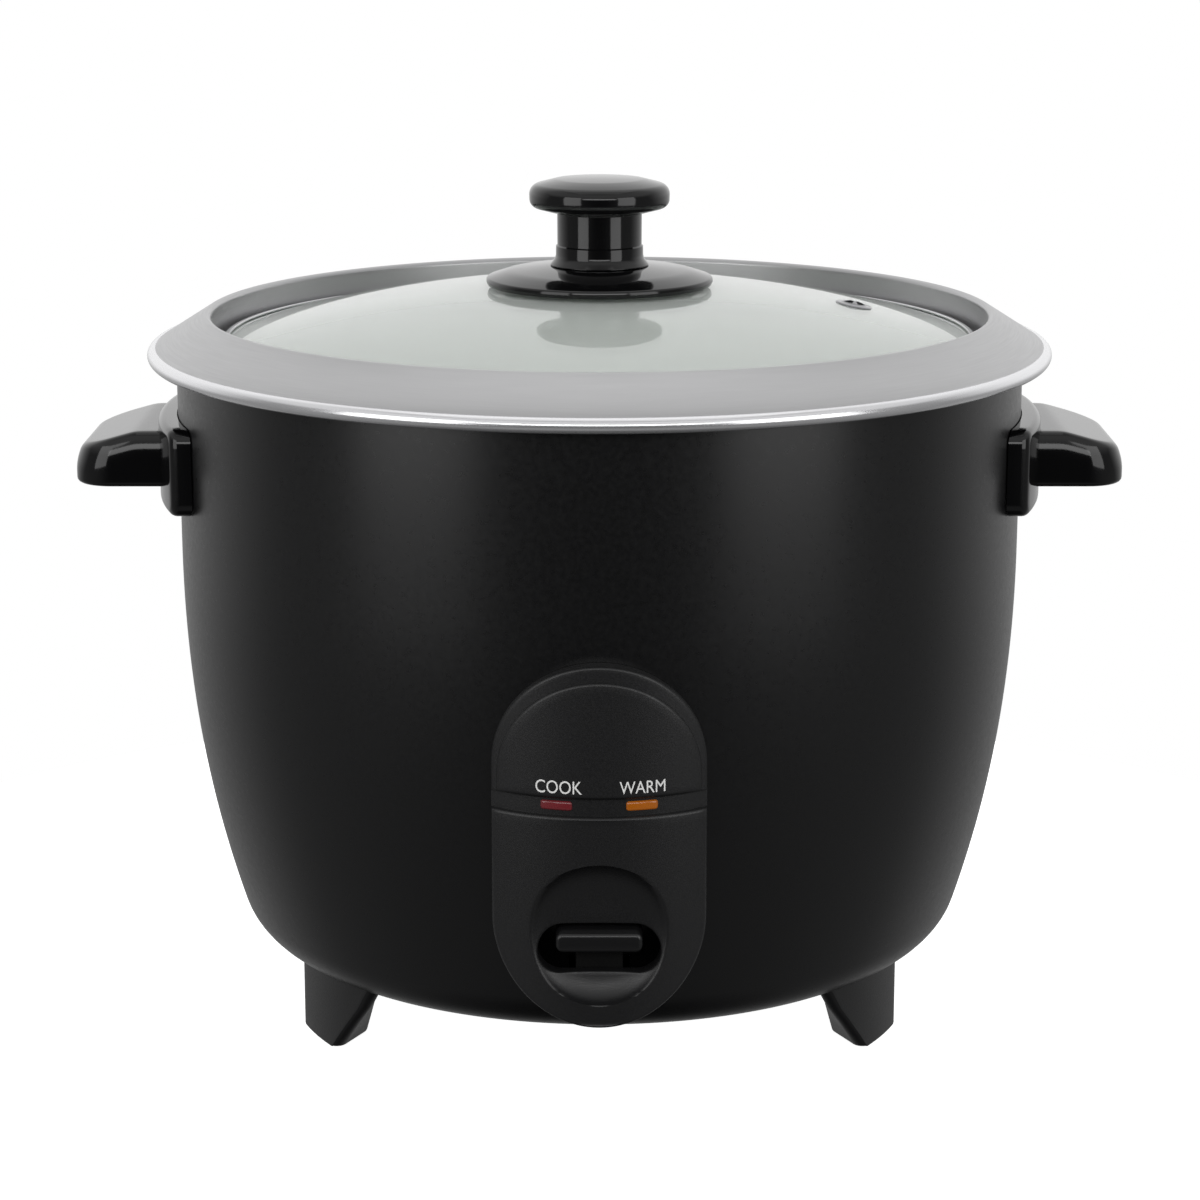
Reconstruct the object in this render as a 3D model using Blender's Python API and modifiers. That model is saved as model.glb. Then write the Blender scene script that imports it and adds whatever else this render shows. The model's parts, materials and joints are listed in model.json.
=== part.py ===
"""A drum rice cooker: lift-out pot, glass lid, cook lever, magnetic limiter and heating plate.

Metres, +Z up. The feet stand on z = 0, the drum's axis is the Z axis and the control panel faces -Y.
"""

import math

import bmesh
import bpy
from mathutils import Matrix, Vector

MM = 0.001

# Clearances
GAP = 0.3 * MM  # between pieces that touch
PLAY = 0.5 * MM  # around a shaft or a screw in its hole
PAST = 5.0 * MM  # cutters reach this far past what they cut

# Drum, the painted steel body
DRUM_RADIUS = 135.9 * MM
DRUM_HEIGHT = 197.8 * MM
DRUM_WALL = 1.2 * MM
WINDOW_MARGIN = 4.0 * MM  # round what passes through the drum behind the panel
SHOULDER_DROP = 64.0 * MM  # the wall is upright this far down from the top
DRUM_TAPER = 21.7 * MM  # how far the wall would have come in at the drum's bottom
TAPER_POWER = 2.2
CORNER_RADIUS = 20.0 * MM
BOTTOM_LIP = 12.0 * MM  # the bottom turns in this far past the corner
TOP_LIP = 6.0 * MM

# Feet and base
FOOT_HEIGHT = 23.9 * MM  # up to the base plate
FOOT_OVERHANG = 4.2 * MM  # beyond the drum's flat bottom, up against its corner
FOOT_LENGTH = 27.0 * MM  # along the drum, where it stands
FOOT_LEAN = 24.0 * MM  # how much longer it is at the base plate
FOOT_DEPTH = 22.0 * MM
FOOT_FILLET = 3.0 * MM
BASE_THICKNESS = 1.5 * MM
BASE_MARGIN = 4.0 * MM  # the base plate stops this far inside the bottom corner
FOOT_ANGLES = {"front_left": 208, "front_right": 332, "rear": 90}
FOOT_LEAN_SHARES = {"front_left": (0.0, 1.0), "front_right": (1.0, 0.0), "rear": (0.5, 0.5)}
SCREW_RADIUS = 2.0 * MM
SCREW_HEAD_RADIUS = 3.6 * MM
SCREW_HEAD_HEIGHT = 2.4 * MM
SCREW_END = 4.0 * MM  # a screw ends this far past the sheet it holds

# Pot
FLANGE_OVERHANG = 9.1 * MM  # beyond the drum
FLANGE_SLOPE = math.radians(33.0)
FLANGE_WIDTH = 18.8 * MM
LIP_DROP = 2.7 * MM
CREST_WIDTH = 1.7 * MM
POT_WALL = 1.5 * MM
SEAT_DEPTH = 14.7 * MM  # from the flange's crest down to the lid's seat
SEAT_WIDTH = 6.0 * MM
POT_CORNER = 26.0 * MM

# Lid
LID_SIDE_GAP = 3.0 * MM
BAND_WALL = 0.8 * MM
GLASS_THICKNESS = 4.0 * MM
GLASS_RISE = 16.1 * MM
VENT_DISTANCE = 82.0 * MM
VENT_RADIUS = 4.0 * MM
SKIRT_RADIUS = 36.5 * MM
STEM_RADIUS = 13.6 * MM
LAND_MARGIN = 1.0 * MM  # flat glass beyond the stem
CAP_RADIUS = 22.4 * MM
KNOB_HEIGHT = 27.8 * MM
SKIRT_THICKNESS = 4.7 * MM  # to its middle; the rim hangs down a little
SKIRT_HANG = 1.4 * MM
GASKET_THICKNESS = 1.2 * MM
KNOB_BORE = 12.0 * MM
BAND_LAP = 1.5 * MM  # of the band's top lip over the glass
BAND_SHELF = 4.0 * MM  # of its bottom lip under the glass
VENT_FLANGE = 2.0 * MM
VENT_STEAM_HOLE = 1.5 * MM  # its radius

# Heating plate and drip tray
PLATE_RADIUS = 88.0 * MM
PLATE_THICKNESS = 14.2 * MM
PLATE_HEIGHT = 93.2 * MM  # its top
TRAY_HEIGHT = 60.0 * MM  # underside of the tray's floor
TRAY_RIM = 14.0 * MM
TRAY_WALL = 1.2 * MM
ELEMENT_RING = 67.0 * MM
ELEMENT_RADIUS = 4.0 * MM
ELEMENT_OPENING = math.radians(28.0)
LEG_RING = 78.0 * MM
LEG_RADIUS = 4.0 * MM
LEG_ANGLES = (30, 150, 270)
TERMINAL_DROP = 7.0 * MM  # the element's ends, below the tray's underside
KEEP_WARM_SIZE = (12.0 * MM, 26.0 * MM, 3.0 * MM)
FUSE_RADIUS = 1.8 * MM
FUSE_LENGTH = 14.0 * MM

# Limiter: the sprung cup in the middle of the plate, and the magnet that the lever lifts to it
LIMITER_RADIUS = 17.0 * MM
LIMITER_DEPTH = 26.0 * MM
LIMITER_WALL = 1.0 * MM
GUIDE_RADIUS = 8.0 * MM
ROD_RADIUS = 2.0 * MM
MAGNET_LIFT = 3.45 * MM
MAGNET_THICKNESS = 5.0 * MM
FERRITE_THICKNESS = 3.9 * MM
GUIDE_FLANGE = 1.5 * MM
CUP_SPRING_MARGIN = 3.5 * MM  # the cup's spring, outside its guide
CUP_SPRING_WIRE = 0.7 * MM  # its radius
CUP_SPRING_TURNS = 5

# Cook lever: a key in the panel, on a steel arm that rocks on a pin
PIVOT_Y = -50.0 * MM
PIVOT_HEIGHT = 50.0 * MM
PIN_RADIUS = 1.5 * MM
ARM_WIDTH = 8.0 * MM
ARM_THICKNESS = 2.0 * MM
KEY_WIDTH = 25.4 * MM
KEY_THICKNESS = 6.0 * MM
KEY_HEIGHT = 66.0 * MM  # of the key's middle
KEY_LEG_WIDTH = 14.0 * MM
KEY_LEG_DEPTH = 4.0 * MM
LEG_PLAY = 1.5 * MM  # between the key's leg and the panel's wall
SWITCH_Y = -65.0 * MM
SPRING_Y = -82.0 * MM
LEVER_TRAVEL = 6.5 * MM
BARREL_WALL = 1.7 * MM  # round the pin
BRACKET_WALL = 1.5 * MM
BRACKET_DEPTH = 9.0 * MM
BRACKET_MARGIN = 4.5 * MM  # above the pin's middle
SWITCH_SIZE = (12.0 * MM, 14.0 * MM)
SWITCH_CLEARANCE = 6.0 * MM  # from the switch's top to the arm
PLUNGER_LENGTH = 11.0 * MM
RETURN_SPRING_RADIUS = 3.4 * MM
RETURN_SPRING_WIRE = 0.6 * MM  # its radius
RETURN_SPRING_TURNS = 5

# Control panel: upright face, rounded in plan, with round ends
PANEL_WIDTH = 63.0 * MM
PANEL_BOTTOM = 40.0 * MM
PANEL_TOP = 149.3 * MM
PANEL_PROUD = 6.6 * MM  # in front of the drum
PANEL_WALL = 2.5 * MM
FASCIA_THICKNESS = 1.5 * MM
FASCIA_BOTTOM = 109.7 * MM
GROOVE_HEIGHT = 104.5 * MM
LENS_SPACING = 24.8 * MM
LENS_WIDTH = 9.3 * MM
LENS_HEIGHT = 3.0 * MM
LENS_RISE = 0.4 * MM  # above the middle of the recess that holds the lenses
LENS_PROUD = 0.6 * MM
LENS_TAIL = 0.4 * MM  # behind the panel's wall
LAMP_RADIUS = 1.8 * MM
DISH_RADIUS = 21.5 * MM
DISH_DEPTH = 7.0 * MM
DISH_HEIGHT = 68.5 * MM
SLOT_SIDE_PLAY = 5.3 * MM  # beside the key, to the ends of the slot
SLOT_KEY_PLAY = 1.0 * MM  # above and below the key

# Handles
HANDLE_REACH = 31.8 * MM  # beyond the drum
HANDLE_WIDTH = 58.0 * MM
HANDLE_THICKNESS = 17.6 * MM
HANDLE_DROP = 27.8 * MM  # top of the grip, below the drum's top
HANDLE_SLOPE = 5.8 * MM  # the grip's outer end is this much thinner
HANDLE_CORNER = 12.0 * MM
HANDLE_WALL = 3.5 * MM
HOLLOW_SETBACK = 8.0 * MM  # from the pad's face to the hollow under the grip
PAD_HEIGHT = 27.5 * MM
PAD_RISE = 4.2 * MM  # the pad's top, above the grip's
PAD_THICKNESS = 6.0 * MM
PAD_MARGIN = 21.0 * MM  # the pad's sides, beyond the grip's
GRIP_FLAT = 0.38  # share of the reach that is level before the grip's top slopes down
HANDLE_SCREW_SPACING = 40.0 * MM
HEAD_CLEARANCE = 1.4 * MM  # from the drum's curved wall to a handle screw's head

# Power inlet
INLET_HEIGHT = 46.0 * MM
INLET_WIDTH = 30.0 * MM
INLET_TALL = 20.0 * MM
INLET_BEZEL = 5.0 * MM
INLET_PROUD = 4.0 * MM
INLET_LENGTH = 20.0 * MM
INLET_WALL = 2.5 * MM
PIN_SPACING = 7.0 * MM
PIN_OFFSET = 2.0 * MM  # the earth pin is this far above the middle and the others below it
PIN_TAIL = 4.0 * MM  # behind the inlet
LEAD_RADIUS = 1.1 * MM

# Facets
ROUND = 36
MEDIUM = 24
SMALL = 12
ARC = 8  # steps in a half circle of an outline
FOOT_FACETS = 3

# Heights and radii that follow from the sizes above
BASE_BOTTOM = FOOT_HEIGHT + GAP
BASE_TOP = BASE_BOTTOM + BASE_THICKNESS
DRUM_BOTTOM = BASE_TOP + GAP
DRUM_TOP = DRUM_BOTTOM + DRUM_HEIGHT
RIM_RADIUS = DRUM_RADIUS + FLANGE_OVERHANG
RIM_HEIGHT = (
    DRUM_TOP + GAP - FLANGE_OVERHANG * math.tan(FLANGE_SLOPE) + POT_WALL / math.cos(FLANGE_SLOPE)
)
CREST_RADIUS = RIM_RADIUS - FLANGE_WIDTH
CREST_HEIGHT = RIM_HEIGHT + FLANGE_WIDTH * math.tan(FLANGE_SLOPE)
COLLAR_RADIUS = CREST_RADIUS - CREST_WIDTH  # inside of the pot's collar, above the lid's seat
SEAT_HEIGHT = CREST_HEIGHT - SEAT_DEPTH
POT_RADIUS = COLLAR_RADIUS - SEAT_WIDTH
BAND_RADIUS = COLLAR_RADIUS - LID_SIDE_GAP
BAND_BOTTOM = SEAT_HEIGHT + GAP
GLASS_BOTTOM = BAND_BOTTOM + BAND_WALL + GAP
GLASS_RADIUS = BAND_RADIUS - BAND_WALL - GAP
GLASS_TOP = GLASS_BOTTOM + GLASS_THICKNESS + GLASS_RISE
PANEL_FRONT = -(DRUM_RADIUS + PANEL_PROUD)
PLATE_BOTTOM = PLATE_HEIGHT - PLATE_THICKNESS
TRAY_TOP = TRAY_HEIGHT + TRAY_WALL
ARM_BOTTOM = PIVOT_HEIGHT + ARM_THICKNESS
ARM_TOP = ARM_BOTTOM + ARM_THICKNESS
SLOT_WIDTH = KEY_WIDTH + 2 * SLOT_SIDE_PLAY
SLOT_TOP = KEY_HEIGHT + KEY_THICKNESS / 2 + SLOT_KEY_PLAY
SLOT_BOTTOM = KEY_HEIGHT - KEY_THICKNESS / 2 - LEVER_TRAVEL - SLOT_KEY_PLAY
DISH_FLOOR = PANEL_FRONT + DISH_DEPTH
LEG_FRONT = DISH_FLOOR + PANEL_WALL + LEG_PLAY
LEG_BACK = LEG_FRONT + KEY_LEG_DEPTH
SHOULDER_HEIGHT = DRUM_TOP - SHOULDER_DROP
HANDLE_TOP = DRUM_TOP - HANDLE_DROP
PAD_BOTTOM = HANDLE_TOP + PAD_RISE - PAD_HEIGHT
HANDLE_SCREW_HEIGHT = PAD_BOTTOM + PAD_HEIGHT / 2
HOLLOW_START = DRUM_RADIUS + GAP + PAD_THICKNESS + HOLLOW_SETBACK
LENS_MIDDLE = (FASCIA_BOTTOM + GROOVE_HEIGHT) / 2 + LENS_RISE
SCREW_HOLE = SCREW_RADIUS + PLAY
GLASS_LAND = STEM_RADIUS + LAND_MARGIN

for old in list(bpy.data.objects):
    bpy.data.objects.remove(old)

PARTS = bpy.data.collections.new("rice_cooker")
CUTTERS = bpy.data.collections.new("cutters")
for group in (PARTS, CUTTERS):
    bpy.context.scene.collection.children.link(group)


def finish(name, colour, roughness, metallic=0.0, transmission=0.0):
    """A Principled material from a linear colour."""
    material = bpy.data.materials.new(name)
    material.use_nodes = True
    shader = material.node_tree.nodes["Principled BSDF"]
    shader.inputs["Base Color"].default_value = (*colour, 1.0)
    shader.inputs["Roughness"].default_value = roughness
    shader.inputs["Metallic"].default_value = metallic
    shader.inputs["Transmission Weight"].default_value = transmission
    material.diffuse_color = (*colour, 1.0)
    return material


PAINT = finish("satin_black_paint", (0.012, 0.012, 0.013), 0.45)
GLOSS = finish("gloss_black_phenolic", (0.008, 0.008, 0.009), 0.15)
TEXTURED = finish("textured_black_plastic", (0.016, 0.016, 0.017), 0.55)
ALUMINIUM = finish("brushed_aluminium", (0.55, 0.55, 0.56), 0.35, 1.0)
STAINLESS = finish("polished_stainless", (0.60, 0.60, 0.62), 0.2, 1.0)
ZINC = finish("zinc_plated_steel", (0.45, 0.46, 0.48), 0.4, 1.0)
CASTING = finish("cast_aluminium", (0.42, 0.42, 0.43), 0.5, 1.0)
GLASS = finish("tempered_glass", (0.80, 0.87, 0.84), 0.05, 0.0, 0.9)
RED = finish("red_lens", (0.45, 0.05, 0.05), 0.2, 0.0, 0.4)
AMBER = finish("amber_lens", (0.60, 0.22, 0.02), 0.2, 0.0, 0.4)
BRASS = finish("brass", (0.55, 0.38, 0.12), 0.35, 1.0)
FERRITE = finish("dark_ferrite", (0.03, 0.03, 0.03), 0.6)
SILICONE = finish("clear_silicone", (0.60, 0.60, 0.58), 0.6)
SLEEVE = finish("white_sleeving", (0.70, 0.70, 0.66), 0.7)


def add(name, data, material, group=None):
    """Puts a new object for data in the parts collection, or in the cutters."""
    obj = bpy.data.objects.new(name, data)
    (group or PARTS).objects.link(obj)
    if group == CUTTERS:
        obj.hide_render = True
        obj.display_type = "WIRE"
    elif material:
        data.materials.append(material)
    return obj


def turned(name, profile, material=None, segments=ROUND, closed=False, group=None):
    """Turns (radius, height) points about the object's Z axis.

    The profile runs down its outer side, top to bottom. closed makes it a ring's section.
    """
    mesh = bpy.data.meshes.new(name)
    edges = [(i, i + 1) for i in range(len(profile) - 1)]
    if closed:
        edges.append((len(profile) - 1, 0))
    mesh.from_pydata([(radius, 0.0, height) for radius, height in profile], edges, [])
    obj = add(name, mesh, material, group)
    screw = obj.modifiers.new("turn", "SCREW")
    screw.steps = segments
    screw.render_steps = segments
    screw.use_merge_vertices = True
    screw.merge_threshold = 0.00001
    return obj


def shell(obj, thickness, side):
    """Gives an open surface a wall. side is -1 behind its normals and 1 in front of them."""
    solidify = obj.modifiers.new("wall", "SOLIDIFY")
    solidify.thickness = thickness
    solidify.offset = side
    solidify.use_even_offset = True
    return obj


def bm_object(name, bm, material, group):
    mesh = bpy.data.meshes.new(name)
    bm.to_mesh(mesh)
    bm.free()
    return add(name, mesh, material, group)


def box(name, low, high, material=None, group=None):
    """A block between two corners, with its origin at its middle."""
    size = [b - a for a, b in zip(low, high)]
    bm = bmesh.new()
    bmesh.ops.create_cube(bm, size=1.0, matrix=Matrix.Diagonal((*size, 1.0)))
    obj = bm_object(name, bm, material, group)
    obj.location = [(a + b) / 2 for a, b in zip(low, high)]
    return obj


def cylinder(name, radius, start, end, material=None, segments=SMALL, group=None):
    """A round bar from start to end."""
    axis = Vector(end) - Vector(start)
    bm = bmesh.new()
    bmesh.ops.create_cone(
        bm, cap_ends=True, segments=segments, radius1=radius, radius2=radius, depth=axis.length
    )
    for face in bm.faces:
        face.smooth = len(face.verts) == 4
    obj = bm_object(name, bm, material, group)
    obj.location = (Vector(start) + Vector(end)) / 2
    obj.rotation_euler = axis.to_track_quat("Z", "Y").to_euler()
    return obj


def as_mesh(curve):
    """Replaces a curve object by a closed mesh object with the same name and place."""
    bpy.context.view_layer.update()
    graph = bpy.context.evaluated_depsgraph_get()
    mesh = bpy.data.meshes.new_from_object(curve.evaluated_get(graph))
    bm = bmesh.new()
    bm.from_mesh(mesh)
    bmesh.ops.remove_doubles(bm, verts=bm.verts, dist=0.000001)
    bm.to_mesh(mesh)
    bm.free()
    name, place = curve.name, curve.matrix_world.copy()
    group = curve.users_collection[0]
    bpy.data.objects.remove(curve)
    obj = add(name, mesh, None, group)
    obj.matrix_world = place
    return obj


def outline(name, points, depth, material=None, group=None):
    """A flat outline in the object's XY plane, as thick as depth about that plane."""
    curve = bpy.data.curves.new(name, "CURVE")
    curve.dimensions = "2D"
    curve.fill_mode = "BOTH"
    curve.extrude = depth / 2
    spline = curve.splines.new("POLY")
    spline.points.add(len(points) - 1)
    for point, (x, y) in zip(spline.points, points):
        point.co = (x, y, 0.0, 1.0)
    spline.use_cyclic_u = True
    return add(name, curve, material, group)


def facing_front(obj, y, height=0.0, x=0.0):
    """Stands an outline upright: its X stays X, and its Y becomes Z."""
    obj.location = (x, y, height)
    obj.rotation_euler = (math.pi / 2, 0.0, 0.0)
    return as_mesh(obj)


def tube(name, points, radius, material):
    """A round wire along a line of points."""
    curve = bpy.data.curves.new(name, "CURVE")
    curve.dimensions = "3D"
    curve.bevel_depth = radius
    curve.bevel_resolution = 2
    curve.use_fill_caps = True
    spline = curve.splines.new("POLY")
    spline.points.add(len(points) - 1)
    for point, place in zip(spline.points, points):
        point.co = (*place, 1.0)
    return add(name, curve, material)


def combine(target, other, operation="DIFFERENCE"):
    """Adds a Boolean to target and turns other into its cutter."""
    if other.name not in CUTTERS.objects:
        for group in list(other.users_collection):
            group.objects.unlink(other)
        CUTTERS.objects.link(other)
        other.hide_render = True
        other.display_type = "WIRE"
    boolean = target.modifiers.new(other.name, "BOOLEAN")
    boolean.operation = operation
    boolean.object = other
    return target


def bore(target, name, radius, start, end, segments=SMALL):
    """Drills a round hole through target."""
    return combine(target, cylinder(name, radius, start, end, None, segments, CUTTERS))


def round_edges(obj, width, segments=2):
    bevel = obj.modifiers.new("edges", "BEVEL")
    bevel.width = width
    bevel.segments = segments
    bevel.limit_method = "ANGLE"
    return obj


def on_ring(radius, degrees, height):
    angle = math.radians(degrees)
    return Vector((radius * math.cos(angle), radius * math.sin(angle), height))


def arc(centre, radius, start, end, steps):
    """Points on a circle's arc, in degrees, both ends included."""
    angles = [math.radians(start + (end - start) * i / steps) for i in range(steps + 1)]
    return [
        (centre[0] + radius * math.cos(angle), centre[1] + radius * math.sin(angle)) for angle in angles
    ]


def drum_radius(height):
    """Outside radius of the drum's wall: it comes in by a power law below the shoulder."""
    below = max(0.0, SHOULDER_HEIGHT - height) / (SHOULDER_HEIGHT - DRUM_BOTTOM)
    return DRUM_RADIUS - DRUM_TAPER * below**TAPER_POWER


def drum_corner():
    """Height where the wall meets the bottom corner, and the angle it stands at there."""
    height = DRUM_BOTTOM + CORNER_RADIUS
    span = SHOULDER_HEIGHT - DRUM_BOTTOM
    for _ in range(30):
        below = (SHOULDER_HEIGHT - height) / span
        angle = math.atan(TAPER_POWER * DRUM_TAPER / span * below ** (TAPER_POWER - 1))
        height = DRUM_BOTTOM + CORNER_RADIUS * (1 - math.sin(angle))
    return height, angle


def drum_line(extra=0.0):
    """The drum's outside from its top edge to its bottom corner, moved out by extra."""
    corner, angle = drum_corner()
    steps = 6
    taper = [SHOULDER_HEIGHT + (corner - SHOULDER_HEIGHT) * i / steps for i in range(steps + 1)]
    heights = [DRUM_TOP] + taper
    line = [(drum_radius(height) + extra, height) for height in heights]
    centre = (drum_radius(corner) - CORNER_RADIUS * math.cos(angle), DRUM_BOTTOM + CORNER_RADIUS)
    return line + arc(centre, CORNER_RADIUS + extra, -math.degrees(angle), -90.0, 4)[1:]


def nose_radius():
    """Radius of the panel's face in plan: the back of the fascia just clears the drum at its sides."""
    half = PANEL_WIDTH / 2
    drum_at_side = math.sqrt(drum_radius(PANEL_TOP - half) ** 2 - half**2)
    depth = -PANEL_FRONT - drum_at_side - GAP
    return (depth**2 - FASCIA_THICKNESS**2 + half**2) / (2 * (depth - FASCIA_THICKNESS))


BOTTOM_RADIUS = drum_line()[-1][0]
BASE_RADIUS = BOTTOM_RADIUS - BASE_MARGIN
SCREW_RING = BOTTOM_RADIUS - BOTTOM_LIP / 2
NOSE_RADIUS = nose_radius()
NOSE_Y = PANEL_FRONT + NOSE_RADIUS


def drum_solid(name, extra):
    """The whole drum as a solid, grown by extra, for cutting what seats against it."""
    line = drum_line(extra)
    line = [(0.0, DRUM_TOP + CORNER_RADIUS), (line[0][0], DRUM_TOP + CORNER_RADIUS)] + line
    return turned(name, line + [(0.0, line[-1][1])], group=CUTTERS)


SEAT_ON_DRUM = drum_solid("seat_on_drum", GAP)
SEAT_ON_BASE = cylinder(
    "seat_on_base",
    BASE_RADIUS + GAP,
    (0.0, 0.0, FOOT_HEIGHT),
    (0.0, 0.0, DRUM_TOP),
    segments=ROUND,
    group=CUTTERS,
)


def make_outer_body():
    line = drum_line()
    line = [(DRUM_RADIUS - TOP_LIP, DRUM_TOP)] + line + [(BOTTOM_RADIUS - BOTTOM_LIP, DRUM_BOTTOM)]
    body = shell(turned("outer_body", line, PAINT), DRUM_WALL, -1)
    for side, sign in (("left", -1), ("right", 1)):
        for end, y in handle_screw_ends():
            start = (sign * DRUM_RADIUS * 0.85, y, HANDLE_SCREW_HEIGHT)
            stop = (sign * (DRUM_RADIUS + PAST), y, HANDLE_SCREW_HEIGHT)
            bore(body, f"hole_{side}_{end}", SCREW_HOLE, start, stop)
    for place, degrees in FOOT_ANGLES.items():
        start = on_ring(SCREW_RING, degrees, DRUM_BOTTOM - PAST)
        stop = on_ring(SCREW_RING, degrees, DRUM_BOTTOM + PAST)
        bore(body, f"body_foot_hole_{place}", SCREW_HOLE, start, stop)
    half = ARM_WIDTH / 2 + WINDOW_MARGIN
    low = (-half, -DRUM_RADIUS - PAST, ARM_BOTTOM - LEVER_TRAVEL - PLAY)
    high = (half, -DRUM_RADIUS / 2, ARM_TOP + WINDOW_MARGIN / 2)
    combine(body, box("arm_window", low, high, group=CUTTERS))
    half = LENS_SPACING / 2 + LENS_WIDTH
    low = (-half, -DRUM_RADIUS - PAST, LENS_MIDDLE - LENS_HEIGHT / 2 - WINDOW_MARGIN)
    high = (half, -DRUM_RADIUS / 2, LENS_MIDDLE + LENS_HEIGHT / 2 + WINDOW_MARGIN)
    combine(body, box("lamp_window", low, high, group=CUTTERS))
    half, tall = INLET_WIDTH / 2 + GAP, INLET_TALL / 2 + GAP
    low = (-half, DRUM_RADIUS / 2, INLET_HEIGHT - tall)
    high = (half, DRUM_RADIUS + PAST, INLET_HEIGHT + tall)
    combine(body, box("inlet_window", low, high, group=CUTTERS))


def make_base():
    line = [(0.0, BASE_TOP), (BASE_RADIUS, BASE_TOP), (BASE_RADIUS, BASE_BOTTOM), (0.0, BASE_BOTTOM)]
    base = turned("base_plate", line, ZINC)
    for place, degrees in FOOT_ANGLES.items():
        foot = leaning_foot("foot_" + place, degrees, FOOT_LEAN_SHARES[place])
        screw_top = DRUM_BOTTOM + DRUM_WALL + SCREW_END
        under = on_ring(SCREW_RING, degrees, -PAST)
        ledge = on_ring(SCREW_RING, degrees, FOOT_HEIGHT / 2)
        above = on_ring(SCREW_RING, degrees, screw_top)
        bore(foot, f"foot_counterbore_{place}", SCREW_HEAD_RADIUS + PLAY, under, ledge)
        bore(foot, f"foot_hole_{place}", SCREW_HOLE, under, above)
        bore(base, f"base_hole_{place}", SCREW_HOLE, under, above)
        screw(f"foot_screw_{place}", on_ring(SCREW_RING, degrees, FOOT_HEIGHT / 2 - GAP), above)


def leaning_foot(name, degrees, shares):
    """A block under the drum's bottom corner, round outside, whose ends lean out by their shares."""
    outer, top = BOTTOM_RADIUS + FOOT_OVERHANG, DRUM_BOTTOM + PAST
    bm = bmesh.new()
    loops = []
    for height in (0.0, top):
        lean = FOOT_LEAN * height / FOOT_HEIGHT
        start = -FOOT_LENGTH / 2 - lean * shares[0]
        end = FOOT_LENGTH / 2 + lean * shares[1]
        across = [start + (end - start) * i / FOOT_FACETS for i in range(FOOT_FACETS + 1)]
        face = [(math.sqrt(outer**2 - y**2), y) for y in across]
        plan = face + [(outer - FOOT_DEPTH, end), (outer - FOOT_DEPTH, start)]
        loops.append([bm.verts.new((x, y, height)) for x, y in plan])
    bottom, roof = loops
    bm.faces.new(list(reversed(bottom)))
    bm.faces.new(roof)
    for i in range(len(bottom)):
        j = (i + 1) % len(bottom)
        bm.faces.new((bottom[i], bottom[j], roof[j], roof[i]))
    bmesh.ops.recalc_face_normals(bm, faces=bm.faces)
    foot = bm_object(name, bm, TEXTURED, None)
    foot.rotation_euler = (0.0, 0.0, math.radians(degrees))
    round_edges(foot, FOOT_FILLET)
    combine(foot, SEAT_ON_BASE)
    return combine(foot, SEAT_ON_DRUM)


def screw(name, head_seat, tip, material=None):
    """A pan-head screw whose head bears at head_seat, with its tip at tip."""
    length = (Vector(tip) - Vector(head_seat)).length
    line = [
        (0.0, length),
        (SCREW_RADIUS, length),
        (SCREW_RADIUS, 0.0),
        (SCREW_HEAD_RADIUS, 0.0),
        (SCREW_HEAD_RADIUS, -SCREW_HEAD_HEIGHT / 2),
        (SCREW_HEAD_RADIUS * 0.6, -SCREW_HEAD_HEIGHT),
        (0.0, -SCREW_HEAD_HEIGHT),
    ]
    obj = turned(name, line, material or ZINC, SMALL)
    obj.location = head_seat
    obj.rotation_euler = (Vector(tip) - Vector(head_seat)).to_track_quat("Z", "Y").to_euler()
    return obj


def handle_screw_ends():
    return (("front", -HANDLE_SCREW_SPACING / 2), ("rear", HANDLE_SCREW_SPACING / 2))


def grip_plan(inset, inner):
    """The grip seen from above, for +X: square at the drum and round at its outer corners."""
    reach = DRUM_RADIUS + HANDLE_REACH - inset
    half = HANDLE_WIDTH / 2 - inset
    corner = HANDLE_CORNER - inset
    points = arc((reach - corner, -half + corner), corner, -90, 0, 5)
    points += arc((reach - corner, half - corner), corner, 0, 90, 5)
    return [(inner, -half)] + points + [(inner, half)]


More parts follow.
